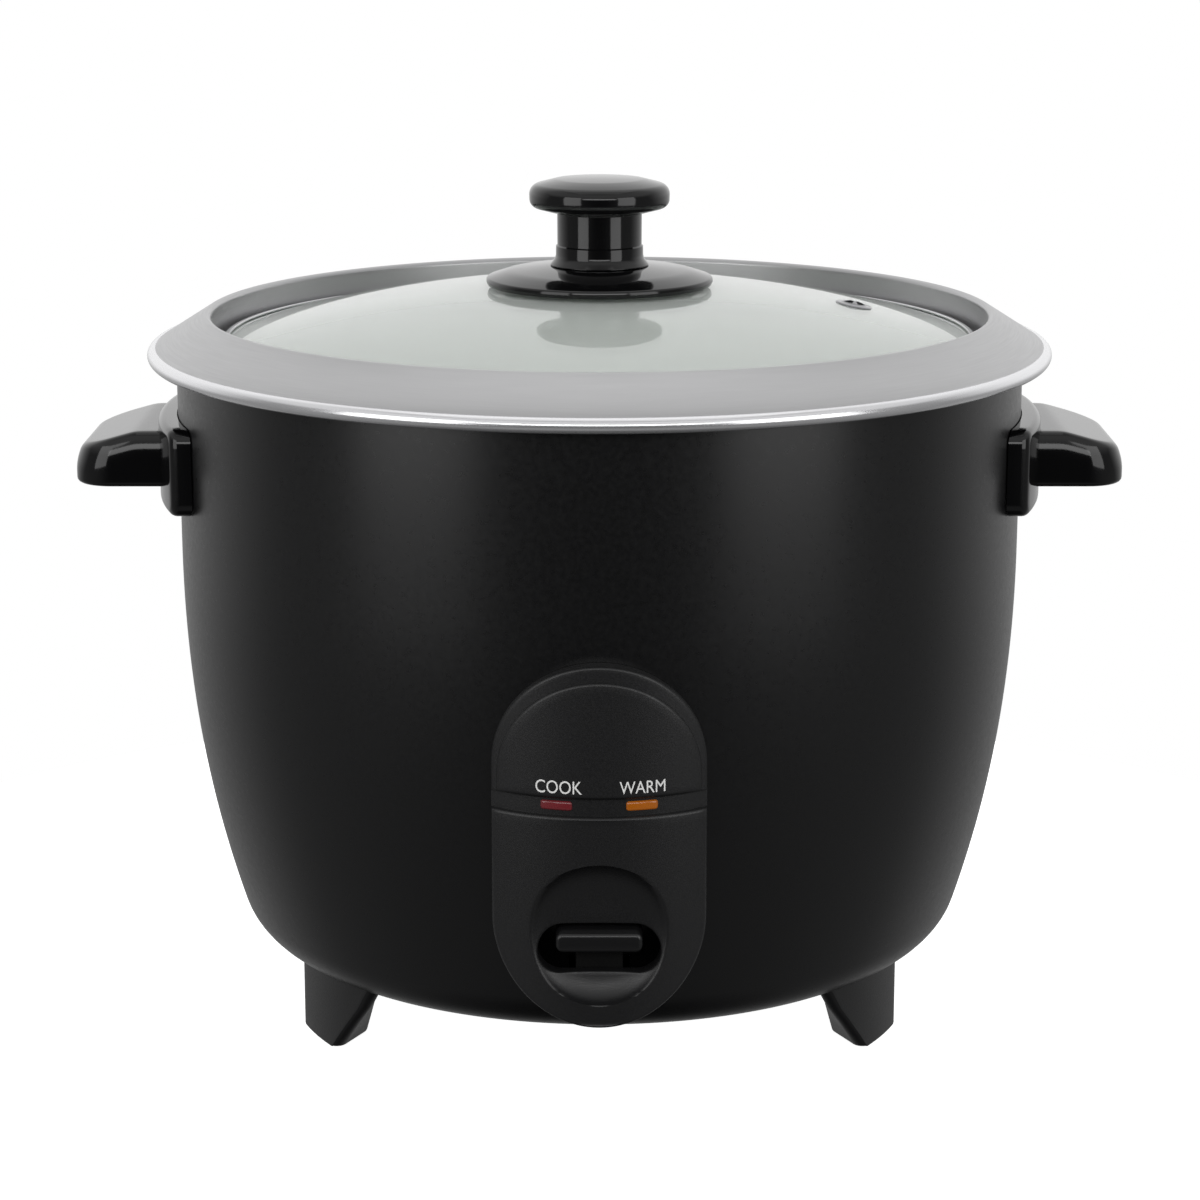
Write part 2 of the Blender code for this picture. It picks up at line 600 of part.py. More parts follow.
def make_handle(side, sign):
    """One moulding: a pad that hugs the drum and a grip that is hollow underneath."""
    grip_bottom = HANDLE_TOP - HANDLE_THICKNESS
    half_pad = HANDLE_WIDTH / 2 + PAD_MARGIN
    handle = outline(f"{side}_handle", grip_plan(0.0, DRUM_RADIUS * 0.9), HANDLE_THICKNESS, GLOSS)
    handle.location = (0.0, 0.0, grip_bottom + HANDLE_THICKNESS / 2)
    handle = as_mesh(handle)
    reach = DRUM_RADIUS + HANDLE_REACH
    bend = DRUM_RADIUS + HANDLE_REACH * GRIP_FLAT
    slope = [
        (bend, HANDLE_TOP),
        (reach + MM, HANDLE_TOP - HANDLE_SLOPE),
        (reach + MM, HANDLE_TOP + PAST),
        (bend, HANDLE_TOP + PAST),
    ]
    wedge = facing_front(outline(f"{side}_wedge", slope, 2 * HANDLE_WIDTH, None, CUTTERS), 0.0)
    combine(handle, wedge)
    low = (DRUM_RADIUS * 0.9, -half_pad, PAD_BOTTOM)
    pad = box(f"{side}_pad", low, (reach, half_pad, PAD_BOTTOM + PAD_HEIGHT), group=CUTTERS)
    line = [
        (0.0, HANDLE_TOP + PAD_HEIGHT),
        (DRUM_RADIUS + GAP + PAD_THICKNESS, HANDLE_TOP + PAD_HEIGHT),
        (DRUM_RADIUS + GAP + PAD_THICKNESS, PAD_BOTTOM - PAD_HEIGHT),
        (0.0, PAD_BOTTOM - PAD_HEIGHT),
    ]
    combine(pad, turned(f"{side}_pad_outside", line, group=CUTTERS), "INTERSECT")
    combine(handle, pad, "UNION")
    combine(handle, SEAT_ON_DRUM)
    hollow_depth = HANDLE_THICKNESS - HANDLE_SLOPE - HANDLE_WALL
    plan = grip_plan(HANDLE_WALL, HOLLOW_START)
    hollow = outline(f"{side}_hollow", plan, 2 * hollow_depth, None, CUTTERS)
    hollow.location = (0.0, 0.0, grip_bottom)
    combine(handle, as_mesh(hollow))
    for end, y in handle_screw_ends():
        inside = math.sqrt(DRUM_RADIUS**2 - y**2) - DRUM_WALL - HEAD_CLEARANCE
        start = Vector((inside, y, HANDLE_SCREW_HEIGHT))
        stop = Vector((HOLLOW_START - HANDLE_WALL, y, HANDLE_SCREW_HEIGHT))
        past = Vector((HOLLOW_START - HANDLE_WALL + GAP, y, HANDLE_SCREW_HEIGHT))
        bore(handle, f"{side}_{end}_screw_hole", SCREW_HOLE, start, past)
        mirror = Vector((sign, 1.0, 1.0))
        screw(f"{side}_handle_screw_{end}", start * mirror, stop * mirror)
    if sign < 0:
        handle.rotation_euler = (0.0, 0.0, math.pi)
        for cutter in [modifier.object for modifier in handle.modifiers]:
            if cutter != SEAT_ON_DRUM:
                turn_about_axis(cutter)
        turn_about_axis(bpy.data.objects[f"{side}_pad_outside"])


def turn_about_axis(obj):
    """Turns an object half way round the drum's axis."""
    bpy.context.view_layer.update()
    obj.matrix_world = Matrix.Rotation(math.pi, 4, "Z") @ obj.matrix_world


def make_pot():
    """The visible side runs from the flange's rolled lip over the crest and down to the middle."""
    inside = PLATE_HEIGHT + GAP + POT_WALL
    line = [
        (RIM_RADIUS - LIP_DROP, RIM_HEIGHT - LIP_DROP),
        (RIM_RADIUS, RIM_HEIGHT),
        (CREST_RADIUS + 1.5 * MM, CREST_HEIGHT - 1.5 * MM * math.tan(FLANGE_SLOPE)),
        (CREST_RADIUS - 0.6 * MM, CREST_HEIGHT - 0.4 * MM),
        (COLLAR_RADIUS, CREST_HEIGHT - 3 * MM),
        (COLLAR_RADIUS, SEAT_HEIGHT),
        (POT_RADIUS, SEAT_HEIGHT),
        (POT_RADIUS, inside + POT_CORNER),
    ]
    line += arc((POT_RADIUS - POT_CORNER, inside + POT_CORNER), POT_CORNER, 0, -90, 5)[1:]
    line += [(0.0, inside)]
    shell(turned("inner_pot", line, ALUMINIUM), POT_WALL, 1)


def glass_height(radius):
    """Top of the glass: a shallow parabola that falls away from a flat land under the knob."""
    outside_land = max(0.0, radius - GLASS_LAND)
    return GLASS_TOP - GLASS_RISE * (outside_land / (GLASS_RADIUS - GLASS_LAND)) ** 2


def make_lid():
    slopes = (0.3, 0.55, 0.8, 1.0)
    stations = [SCREW_HOLE] + [GLASS_LAND + (GLASS_RADIUS - GLASS_LAND) * part for part in (0.0, *slopes)]
    top = [(radius, glass_height(radius)) for radius in stations]
    under = [(radius, glass_height(radius) - GLASS_THICKNESS) for radius in reversed(stations)]
    glass = turned("lid_glass", top + under, GLASS, closed=True)
    vent_top = Vector((VENT_DISTANCE, 0.0, glass_height(VENT_DISTANCE)))
    slope = 2 * GLASS_RISE * (VENT_DISTANCE - GLASS_LAND) / (GLASS_RADIUS - GLASS_LAND) ** 2
    up = Vector((slope, 0.0, 1.0)).normalized()
    start, stop = vent_top - (GLASS_THICKNESS + PAST) * up, vent_top + PAST * up
    bore(glass, "vent_hole", VENT_RADIUS + GAP, start, stop, MEDIUM)
    outside = BAND_RADIUS
    lip_top = GLASS_BOTTOM + GLASS_THICKNESS + GAP
    line = [
        (GLASS_RADIUS - BAND_LAP, lip_top + BAND_WALL + 0.4 * MM),
        (outside, lip_top + BAND_WALL),
        (outside, BAND_BOTTOM),
        (GLASS_RADIUS - BAND_SHELF, BAND_BOTTOM),
        (GLASS_RADIUS - BAND_SHELF, BAND_BOTTOM + BAND_WALL),
        (outside - BAND_WALL, BAND_BOTTOM + BAND_WALL),
        (outside - BAND_WALL, lip_top),
        (GLASS_RADIUS - BAND_LAP, lip_top + 0.4 * MM),
    ]
    turned("lid_rim_band", line, STAINLESS, closed=True)
    make_vent(vent_top, up)


def make_vent(place, up):
    """A rolled eyelet through the glass, with a small steam hole."""
    flange, under = VENT_RADIUS + VENT_FLANGE, -GLASS_THICKNESS - GAP
    line = [
        (VENT_STEAM_HOLE, 1.0 * MM),
        (VENT_RADIUS, 1.2 * MM),
        (flange, 0.4 * MM),
        (flange, GAP),
        (VENT_RADIUS, GAP),
        (VENT_RADIUS, under),
        (flange - 0.5 * MM, under),
        (flange - 0.5 * MM, under - 0.8 * MM),
        (VENT_STEAM_HOLE, under - 0.8 * MM),
    ]
    vent = turned("vent_eyelet", line, STAINLESS, SMALL, closed=True)
    vent.location = place
    vent.rotation_euler = up.to_track_quat("Z", "Y").to_euler()


def ring(name, inner, outer, bottom, top, material, segments=MEDIUM):
    """A flat washer."""
    line = [(inner, top), (outer, top), (outer, bottom), (inner, bottom)]
    return turned(name, line, material, segments, closed=True)


def make_knob():
    gasket_top = GLASS_TOP + GAP + GASKET_THICKNESS
    skirt_bottom = gasket_top + GAP
    skirt_top = skirt_bottom + SKIRT_THICKNESS
    knob_bottom = skirt_top + GAP
    knob_top = knob_bottom + KNOB_HEIGHT
    ring("knob_gasket", SCREW_HOLE, STEM_RADIUS, GLASS_TOP + GAP, gasket_top, SILICONE)
    line = [
        (SCREW_HOLE, skirt_top),
        (STEM_RADIUS + 2.4 * MM, skirt_top),
        (SKIRT_RADIUS * 0.8, skirt_top - 1.7 * MM),
        (SKIRT_RADIUS, skirt_bottom + 1.0 * MM),
        (SKIRT_RADIUS, skirt_bottom - SKIRT_HANG),
        (SKIRT_RADIUS * 0.8, skirt_bottom),
        (SCREW_HOLE, skirt_bottom),
    ]
    turned("knob_skirt", line, GLOSS, closed=True)
    line = [
        (0.0, knob_top),
        (CAP_RADIUS * 0.6, knob_top - 1.2 * MM),
        (CAP_RADIUS * 0.9, knob_top - 3.2 * MM),
        (CAP_RADIUS, knob_top - 6.0 * MM),
        (CAP_RADIUS * 0.94, knob_top - 9.2 * MM),
        (STEM_RADIUS, knob_top - 11.2 * MM),
        (STEM_RADIUS, knob_bottom + 3.5 * MM),
        (STEM_RADIUS + 2.2 * MM, knob_bottom),
        (SCREW_HOLE, knob_bottom),
        (SCREW_HOLE, knob_bottom + KNOB_BORE),
        (0.0, knob_bottom + KNOB_BORE),
    ]
    turned("lid_knob", line, GLOSS, MEDIUM)
    under = GLASS_TOP - GLASS_THICKNESS - GAP
    ring("knob_washer", SCREW_HOLE, STEM_RADIUS * 0.75, under - GASKET_THICKNESS, under, ZINC)
    tip = (0.0, 0.0, knob_bottom + KNOB_BORE - MM)
    screw("knob_screw", (0.0, 0.0, under - GASKET_THICKNESS - GAP), tip, STAINLESS)


def make_drip_tray():
    """A pressed dish across the drum, over the electrical parts."""
    floor_edge = drum_radius(TRAY_HEIGHT) - DRUM_WALL - GAP
    rim_edge = drum_radius(TRAY_HEIGHT + TRAY_RIM) - DRUM_WALL - GAP
    line = [
        (rim_edge - GAP, TRAY_HEIGHT + TRAY_RIM),
        (floor_edge - GAP, TRAY_HEIGHT + 3 * MM),
        (floor_edge - 3 * MM, TRAY_HEIGHT),
        (GUIDE_RADIUS + GAP, TRAY_HEIGHT),
    ]
    tray = shell(turned("drip_tray", line, ZINC), TRAY_WALL, -1)
    for end, place in element_ends():
        low, high = Vector((place.x, place.y, 0.0)), Vector((place.x, place.y, PLATE_BOTTOM))
        bore(tray, f"terminal_hole_{end}", ELEMENT_RADIUS + 2 * MM, low, high)


def element_ends():
    half = math.degrees(ELEMENT_OPENING) / 2
    return (
        ("right", on_ring(ELEMENT_RING, 90 - half, 0.0)),
        ("left", on_ring(ELEMENT_RING, 90 + half, 0.0)),
    )


def make_heater():
    groove = ELEMENT_RADIUS + PLAY
    roof = PLATE_BOTTOM + 2 * groove - GAP
    line = [
        (LIMITER_RADIUS + 2 * MM, PLATE_HEIGHT),
        (PLATE_RADIUS - 3 * MM, PLATE_HEIGHT),
        (PLATE_RADIUS, PLATE_HEIGHT - 3 * MM),
        (PLATE_RADIUS, PLATE_BOTTOM + 4 * MM),
        (PLATE_RADIUS - 4 * MM, PLATE_BOTTOM),
        (ELEMENT_RING + groove, PLATE_BOTTOM),
        (ELEMENT_RING + groove, roof),
        (ELEMENT_RING - groove, roof),
        (ELEMENT_RING - groove, PLATE_BOTTOM),
        (LIMITER_RADIUS + 2 * MM, PLATE_BOTTOM),
    ]
    turned("heating_plate", line, CASTING, closed=True)
    height = roof - groove
    half = ELEMENT_OPENING / 2
    sweep = 2 * math.pi - ELEMENT_OPENING
    steps = 24
    angles = [math.pi / 2 + half + sweep * i / steps for i in range(steps + 1)]
    loop = [Vector((ELEMENT_RING * math.cos(a), ELEMENT_RING * math.sin(a), height)) for a in angles]
    bottom = TRAY_HEIGHT - TERMINAL_DROP
    drop = ELEMENT_RADIUS + MM
    first = [Vector((loop[0].x, loop[0].y, bottom)), loop[0] - Vector((0.0, 0.0, drop))]
    last = [loop[-1] - Vector((0.0, 0.0, drop)), Vector((loop[-1].x, loop[-1].y, bottom))]
    middle = [(loop[0] + loop[1]) / 2] + loop[1:-1] + [(loop[-1] + loop[-2]) / 2]
    tube("heating_element", first + middle + last, ELEMENT_RADIUS, STAINLESS)
    for number, degrees in enumerate(LEG_ANGLES, 1):
        start = on_ring(LEG_RING, degrees, TRAY_TOP + GAP)
        stop = on_ring(LEG_RING, degrees, PLATE_BOTTOM - GAP)
        cylinder(f"plate_leg_{number}", LEG_RADIUS, start, stop, ZINC)
    fit = PLATE_BOTTOM - GAP
    inner = LIMITER_RADIUS + 10 * MM
    wide, long, thick = KEEP_WARM_SIZE
    low, high = (inner, -long / 2, fit - thick), (inner + wide, long / 2, fit)
    box("keep_warm_heater", low, high, SLEEVE)
    x, height = -inner - wide / 2, fit - FUSE_RADIUS
    start, stop = (x, -FUSE_LENGTH / 2, height), (x, FUSE_LENGTH / 2, height)
    cylinder("thermal_fuse", FUSE_RADIUS, start, stop, SLEEVE)


def make_limiter():
    cup_inside = PLATE_HEIGHT - LIMITER_WALL
    line = [
        (0.0, PLATE_HEIGHT),
        (LIMITER_RADIUS - MM, PLATE_HEIGHT),
        (LIMITER_RADIUS, PLATE_HEIGHT - MM),
        (LIMITER_RADIUS, PLATE_HEIGHT - LIMITER_DEPTH),
    ]
    shell(turned("limiter_cap", line, CASTING, MEDIUM), LIMITER_WALL, -1)
    ferrite_top = cup_inside - GAP
    ferrite_bottom = ferrite_top - FERRITE_THICKNESS
    disc_radius = GUIDE_RADIUS
    start, stop = (0.0, 0.0, ferrite_bottom), (0.0, 0.0, ferrite_top)
    cylinder("limiter_ferrite", disc_radius, start, stop, FERRITE, MEDIUM)
    magnet_top = ferrite_bottom - GAP - MAGNET_LIFT
    magnet_bottom = magnet_top - MAGNET_THICKNESS
    start, stop = (0.0, 0.0, magnet_bottom), (0.0, 0.0, magnet_top)
    cylinder("limiter_magnet", disc_radius, start, stop, FERRITE, MEDIUM)
    start, stop = (0.0, 0.0, ARM_TOP + GAP), (0.0, 0.0, magnet_bottom - GAP)
    cylinder("limiter_rod", ROD_RADIUS, start, stop, ZINC)
    flange_top = TRAY_TOP + GAP + GUIDE_FLANGE
    neck_top = magnet_bottom - MAGNET_LIFT - PLAY
    line = [
        (ROD_RADIUS + PLAY, neck_top),
        (GUIDE_RADIUS - GAP, neck_top),
        (GUIDE_RADIUS - GAP, flange_top),
        (LIMITER_RADIUS - LIMITER_WALL - MM, flange_top),
        (LIMITER_RADIUS - LIMITER_WALL - MM, TRAY_TOP + GAP),
        (GUIDE_RADIUS - GAP, TRAY_TOP + GAP),
        (GUIDE_RADIUS - GAP, TRAY_HEIGHT),
        (ROD_RADIUS + PLAY, TRAY_HEIGHT),
    ]
    turned("limiter_guide", line, ZINC, MEDIUM, closed=True)
    wire = CUP_SPRING_WIRE
    bottom, top = flange_top + GAP + wire, cup_inside - GAP - wire
    radius = GUIDE_RADIUS + CUP_SPRING_MARGIN
    coil("limiter_spring", (0.0, 0.0), radius, wire, bottom, top, CUP_SPRING_TURNS)


def coil(name, centre, radius, wire, bottom, top, turns):
    """A compression spring about a vertical axis."""
    steps = turns * SMALL * 2 // 3
    points = []
    for i in range(steps + 1):
        angle = 2 * math.pi * turns * i / steps
        x = centre[0] + radius * math.cos(angle)
        y = centre[1] + radius * math.sin(angle)
        points.append((x, y, bottom + (top - bottom) * i / steps))
    return tube(name, points, wire, ZINC)


def make_lever():
    key_low, key_high = KEY_HEIGHT - KEY_THICKNESS / 2, KEY_HEIGHT + KEY_THICKNESS / 2
    low = (-KEY_WIDTH / 2, PANEL_FRONT + MM, key_low)
    key = box("cook_lever_key", low, (KEY_WIDTH / 2, LEG_BACK, key_high), GLOSS)
    low = (-KEY_LEG_WIDTH / 2, LEG_FRONT, ARM_BOTTOM - MM)
    leg = box("key_leg", low, (KEY_LEG_WIDTH / 2, LEG_BACK, KEY_HEIGHT), group=CUTTERS)
    combine(key, leg, "UNION")
    half = ARM_WIDTH / 2
    low, high = (-half, LEG_BACK + GAP, ARM_BOTTOM), (half, GUIDE_RADIUS, ARM_TOP)
    arm = box("link_arm", low, high, ZINC)
    barrel = ARM_WIDTH / 2 + BARREL_WALL
    start, stop = (-barrel, PIVOT_Y, PIVOT_HEIGHT), (barrel, PIVOT_Y, PIVOT_HEIGHT)
    radius = PIN_RADIUS + BARREL_WALL
    combine(arm, cylinder("arm_barrel", radius, start, stop, group=CUTTERS), "UNION")
    start, stop = (-2 * barrel, PIVOT_Y, PIVOT_HEIGHT), (2 * barrel, PIVOT_Y, PIVOT_HEIGHT)
    bore(arm, "arm_bore", PIN_RADIUS + GAP, start, stop)
    make_bracket(barrel + GAP)
    half, deep = SWITCH_SIZE[0] / 2, SWITCH_SIZE[1] / 2
    low = (-half, SWITCH_Y - deep, BASE_TOP + GAP)
    high = (half, SWITCH_Y + deep, ARM_BOTTOM - SWITCH_CLEARANCE)
    switch = box("cook_switch", low, high, TEXTURED)
    bottom = (0.0, SWITCH_Y, ARM_BOTTOM - PLUNGER_LENGTH)
    top = (0.0, SWITCH_Y, ARM_BOTTOM - GAP)
    cylinder("switch_plunger", PIN_RADIUS, bottom, top, RED)
    floor = (0.0, SWITCH_Y, ARM_BOTTOM - PLUNGER_LENGTH - 3 * MM)
    bore(switch, "plunger_bore", PIN_RADIUS + PLAY, floor, top)
    wire = RETURN_SPRING_WIRE
    bottom, top = BASE_TOP + GAP + wire, ARM_BOTTOM - GAP - wire
    radius = RETURN_SPRING_RADIUS
    coil("return_spring", (0.0, SPRING_Y), radius, wire, bottom, top, RETURN_SPRING_TURNS)


def make_bracket(inside):
    """A folded steel bracket on the base plate, with the arm's pin through its cheeks."""
    wall = BRACKET_WALL
    bottom, top = BASE_TOP + GAP, PIVOT_HEIGHT + BRACKET_MARGIN
    outside = inside + wall
    points = [
        (-outside, bottom),
        (outside, bottom),
        (outside, top),
        (inside, top),
        (inside, bottom + wall),
        (-inside, bottom + wall),
        (-inside, top),
        (-outside, top),
    ]
    bracket = facing_front(outline("link_bracket", points, BRACKET_DEPTH, ZINC), PIVOT_Y)
    start, stop = (-outside - MM, PIVOT_Y, PIVOT_HEIGHT), (outside + MM, PIVOT_Y, PIVOT_HEIGHT)
    bore(bracket, "bracket_bore", PIN_RADIUS + GAP, start, stop)
    cylinder("link_pin", PIN_RADIUS, start, stop, STAINLESS)


def stadium(width, bottom, top):
    """An upright outline with half-round ends."""
    radius = width / 2
    upper = arc((0.0, top - radius), radius, 0, 180, ARC)
    return upper + arc((0.0, bottom + radius), radius, 180, 360, ARC)


def nose(name, radius):
    """An upright bar whose front is the panel's face, or a surface behind it."""
    low, high = (0.0, NOSE_Y, PANEL_BOTTOM - 9 * MM), (0.0, NOSE_Y, PANEL_TOP + 9 * MM)
    return cylinder(name, radius, low, high, None, 2 * ROUND, CUTTERS)


def make_panel():
    depth = 2 * NOSE_RADIUS
    panel = outline("control_panel", stadium(PANEL_WIDTH, PANEL_BOTTOM, PANEL_TOP), depth, TEXTURED)
    panel = facing_front(panel, NOSE_Y - NOSE_RADIUS)
    combine(panel, nose("panel_face", NOSE_RADIUS), "INTERSECT")
    seat_radius = NOSE_RADIUS - FASCIA_THICKNESS - GAP
    low = (-PANEL_WIDTH, PANEL_FRONT - 5 * MM, GROOVE_HEIGHT)
    seat = box("fascia_seat", low, (PANEL_WIDTH, NOSE_Y, PANEL_TOP + 5 * MM), group=CUTTERS)
    combine(seat, nose("seat_face", seat_radius))
    combine(panel, seat)
    wall = PANEL_WALL
    inner = stadium(PANEL_WIDTH - 2 * wall, PANEL_BOTTOM + wall, PANEL_TOP - wall)
    hollow = outline("panel_hollow", inner, depth, None, CUTTERS)
    hollow = facing_front(hollow, NOSE_Y - NOSE_RADIUS)
    combine(hollow, nose("hollow_face", seat_radius - wall), "INTERSECT")
    back = (0.0, DISH_FLOOR + wall, DISH_HEIGHT)
    front = (0.0, PANEL_FRONT - wall, DISH_HEIGHT)
    combine(hollow, cylinder("dish_boss", DISH_RADIUS + wall, front, back, None, MEDIUM, CUTTERS))
    combine(panel, hollow)
    combine(panel, SEAT_ON_DRUM)
    line = [
        (0.0, DISH_DEPTH + MM),
        (DISH_RADIUS, DISH_DEPTH + MM),
        (DISH_RADIUS * 0.97, DISH_DEPTH * 0.65),
        (DISH_RADIUS * 0.84, DISH_DEPTH * 0.25),
        (DISH_RADIUS * 0.6, 0.05 * DISH_DEPTH),
        (0.0, 0.0),
    ]
    dish = turned("dish", line, segments=MEDIUM, group=CUTTERS)
    dish.location = (0.0, DISH_FLOOR, DISH_HEIGHT)
    dish.rotation_euler = (math.pi / 2, 0.0, 0.0)
    combine(panel, dish)
    tall = SLOT_TOP - SLOT_BOTTOM
    lying = [(y, x) for x, y in reversed(stadium(tall, -SLOT_WIDTH / 2, SLOT_WIDTH / 2))]
    slot = outline("lever_slot", lying, 3 * DISH_DEPTH, None, CUTTERS)
    combine(panel, facing_front(slot, DISH_FLOOR, (SLOT_TOP + SLOT_BOTTOM) / 2))
    make_fascia(depth)
    make_lights(panel, seat_radius)


def make_fascia(depth):
    """The arched plate on the panel's upper half."""
    radius = PANEL_WIDTH / 2
    arch = arc((0.0, PANEL_TOP - radius), radius, 0, 180, ARC)
    arch += [(-radius, FASCIA_BOTTOM), (radius, FASCIA_BOTTOM)]
    fascia = facing_front(outline("panel_fascia", arch, depth, TEXTURED), NOSE_Y - NOSE_RADIUS)
    combine(fascia, nose("fascia_face", NOSE_RADIUS), "INTERSECT")
    combine(fascia, nose("fascia_back", NOSE_RADIUS - FASCIA_THICKNESS))


def make_lights(panel, seat_radius):
    """Two lenses in the panel, each with a neon lamp behind it."""
    half, tall = LENS_WIDTH / 2, LENS_HEIGHT / 2
    for name, sign, colour in (("cook", -1, RED), ("warm", 1, AMBER)):
        x = sign * LENS_SPACING / 2
        face = NOSE_Y - math.sqrt(seat_radius**2 - x**2)
        front, back = face - LENS_PROUD, face + PANEL_WALL + LENS_TAIL
        low = (x - half, front, LENS_MIDDLE - tall)
        box(f"{name}_lens", low, (x + half, back, LENS_MIDDLE + tall), colour)
        low = (x - half - GAP, front - PAST, LENS_MIDDLE - tall - GAP)
        high = (x + half + GAP, back + PAST, LENS_MIDDLE + tall + GAP)
        combine(panel, box(f"{name}_lens_window", low, high, group=CUTTERS))
        lamp_y = back + LAMP_RADIUS + 2 * GAP
        start, stop = (x - half, lamp_y, LENS_MIDDLE), (x + half, lamp_y, LENS_MIDDLE)
        cylinder(f"{name}_lamp", LAMP_RADIUS, start, stop, GLASS)


def make_inlet():
    """A moulded socket in the back of the drum, with three pins."""
    face = drum_radius(INLET_HEIGHT + INLET_TALL / 2 + INLET_BEZEL) + INLET_PROUD
    half, tall = INLET_WIDTH / 2 + INLET_BEZEL, INLET_TALL / 2 + INLET_BEZEL
    low = (-half, face - 5 * INLET_PROUD, INLET_HEIGHT - tall)
    inlet = box("power_inlet", low, (half, face, INLET_HEIGHT + tall), TEXTURED)
    combine(inlet, SEAT_ON_DRUM)
    inner = face - INLET_PROUD - INLET_LENGTH
    half, tall = INLET_WIDTH / 2, INLET_TALL / 2
    low, high = (-half, inner, INLET_HEIGHT - tall), (half, face - MM, INLET_HEIGHT + tall)
    combine(inlet, box("inlet_barrel", low, high, group=CUTTERS), "UNION")
    half, tall = half - INLET_WALL, tall - INLET_WALL
    floor = inner + INLET_WALL
    low, high = (-half, floor, INLET_HEIGHT - tall), (half, face + MM, INLET_HEIGHT + tall)
    combine(inlet, box("inlet_socket", low, high, group=CUTTERS))
    for name, x, z in (("live", -1, -1), ("neutral", 1, -1), ("earth", 0, 1)):
        place = Vector((x * PIN_SPACING, inner - PIN_TAIL, INLET_HEIGHT + z * PIN_OFFSET))
        end = place + Vector((0.0, INLET_LENGTH, 0.0))
        bore(inlet, f"{name}_hole", PIN_RADIUS + GAP, place, end)
        cylinder(f"inlet_pin_{name}", PIN_RADIUS, place, end, BRASS)
    return inner - PIN_TAIL


def make_leads(inlet_back):
    """Three insulated leads between the inlet, the switch and the element."""
    start = inlet_back - GAP
    pins = INLET_HEIGHT - PIN_OFFSET
    low = BASE_TOP + 5 * MM
    side = ARM_WIDTH + 12 * MM
    switch_side, switch_end = SWITCH_SIZE[0] / 2 + GAP, low + 5 * MM
    ends = dict(element_ends())
    under_terminal = TRAY_HEIGHT - TERMINAL_DROP - GAP
    to_switch = [
        (-PIN_SPACING, start, pins),
        (-PIN_SPACING, start - 3 * MM, pins),
        (-PIN_SPACING - 6 * MM, start - 9 * MM, pins - 2 * MM),
        (-side, start * 0.6, low),
        (-side, 0.0, low),
        (-side, PIVOT_Y + 5 * MM, low),
        (-switch_side - 5 * MM, SWITCH_Y + MM, switch_end),
        (-switch_side - 2 * MM, SWITCH_Y, switch_end),
        (-switch_side, SWITCH_Y, switch_end),
    ]
    tube("lead_inlet_to_switch", to_switch, LEAD_RADIUS, SLEEVE)
    near, far = ends["right"], ends["left"]
    to_element = [
        (PIN_SPACING, start, pins),
        (PIN_SPACING, start - 3 * MM, pins),
        (PIN_SPACING + 5 * MM, start - 10 * MM, pins - MM),
        (near.x, near.y + 8 * MM, under_terminal - 6 * MM),
        (near.x, near.y, under_terminal - 4 * MM),
        (near.x, near.y, under_terminal),
    ]
    tube("lead_inlet_to_element", to_element, LEAD_RADIUS, SLEEVE)
    return_lead = [
        (switch_side, SWITCH_Y, switch_end),
        (switch_side + 2 * MM, SWITCH_Y, switch_end),
        (switch_side + 5 * MM, SWITCH_Y + MM, switch_end),
        (side, PIVOT_Y + 5 * MM, low),
        (side, 0.0, low),
        (0.0, near.y * 0.7, low + 4 * MM),
        (far.x, far.y - 6 * MM, under_terminal - 8 * MM),
        (far.x, far.y, under_terminal - 4 * MM),
        (far.x, far.y, under_terminal),
    ]
    tube("lead_switch_to_element", return_lead, LEAD_RADIUS, SLEEVE)


make_outer_body()
make_base()
make_handle("left", -1)
make_handle("right", 1)
make_pot()
make_lid()
make_knob()
make_drip_tray()
make_heater()
make_limiter()
make_lever()
make_panel()
make_leads(make_inlet())
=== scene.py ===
"""A drum rice cooker, dressed for a studio picture.

Lengths are millimetres until a mesh is made."""

import json
import math

import bpy
import numpy as np
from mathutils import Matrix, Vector


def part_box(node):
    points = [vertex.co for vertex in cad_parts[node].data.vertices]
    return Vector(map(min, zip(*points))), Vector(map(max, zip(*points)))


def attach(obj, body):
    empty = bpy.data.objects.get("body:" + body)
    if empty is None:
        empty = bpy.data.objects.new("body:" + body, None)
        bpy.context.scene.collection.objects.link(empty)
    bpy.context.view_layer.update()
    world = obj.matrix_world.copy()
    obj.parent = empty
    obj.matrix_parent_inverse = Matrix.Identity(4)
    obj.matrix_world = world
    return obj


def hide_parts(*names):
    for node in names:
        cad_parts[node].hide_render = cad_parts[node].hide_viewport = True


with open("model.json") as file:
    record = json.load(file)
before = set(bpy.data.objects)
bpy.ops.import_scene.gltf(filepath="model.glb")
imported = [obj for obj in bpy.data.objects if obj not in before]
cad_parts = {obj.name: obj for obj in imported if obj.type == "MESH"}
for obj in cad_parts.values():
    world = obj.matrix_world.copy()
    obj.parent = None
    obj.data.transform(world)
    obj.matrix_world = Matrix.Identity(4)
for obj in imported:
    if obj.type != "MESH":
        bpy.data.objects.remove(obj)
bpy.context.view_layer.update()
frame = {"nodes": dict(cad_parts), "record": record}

MM = 0.001
TAU = 2 * math.pi
MERGE = 1e-3  # points closer than this are one point
SLOTS = {part["node"]: part["material_slot"] for part in frame["record"]["subparts"]}


def span(name):
    """Lowest and highest corner of a CAD node."""
    low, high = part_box(name)
    return np.array(low) / MM, np.array(high) / MM


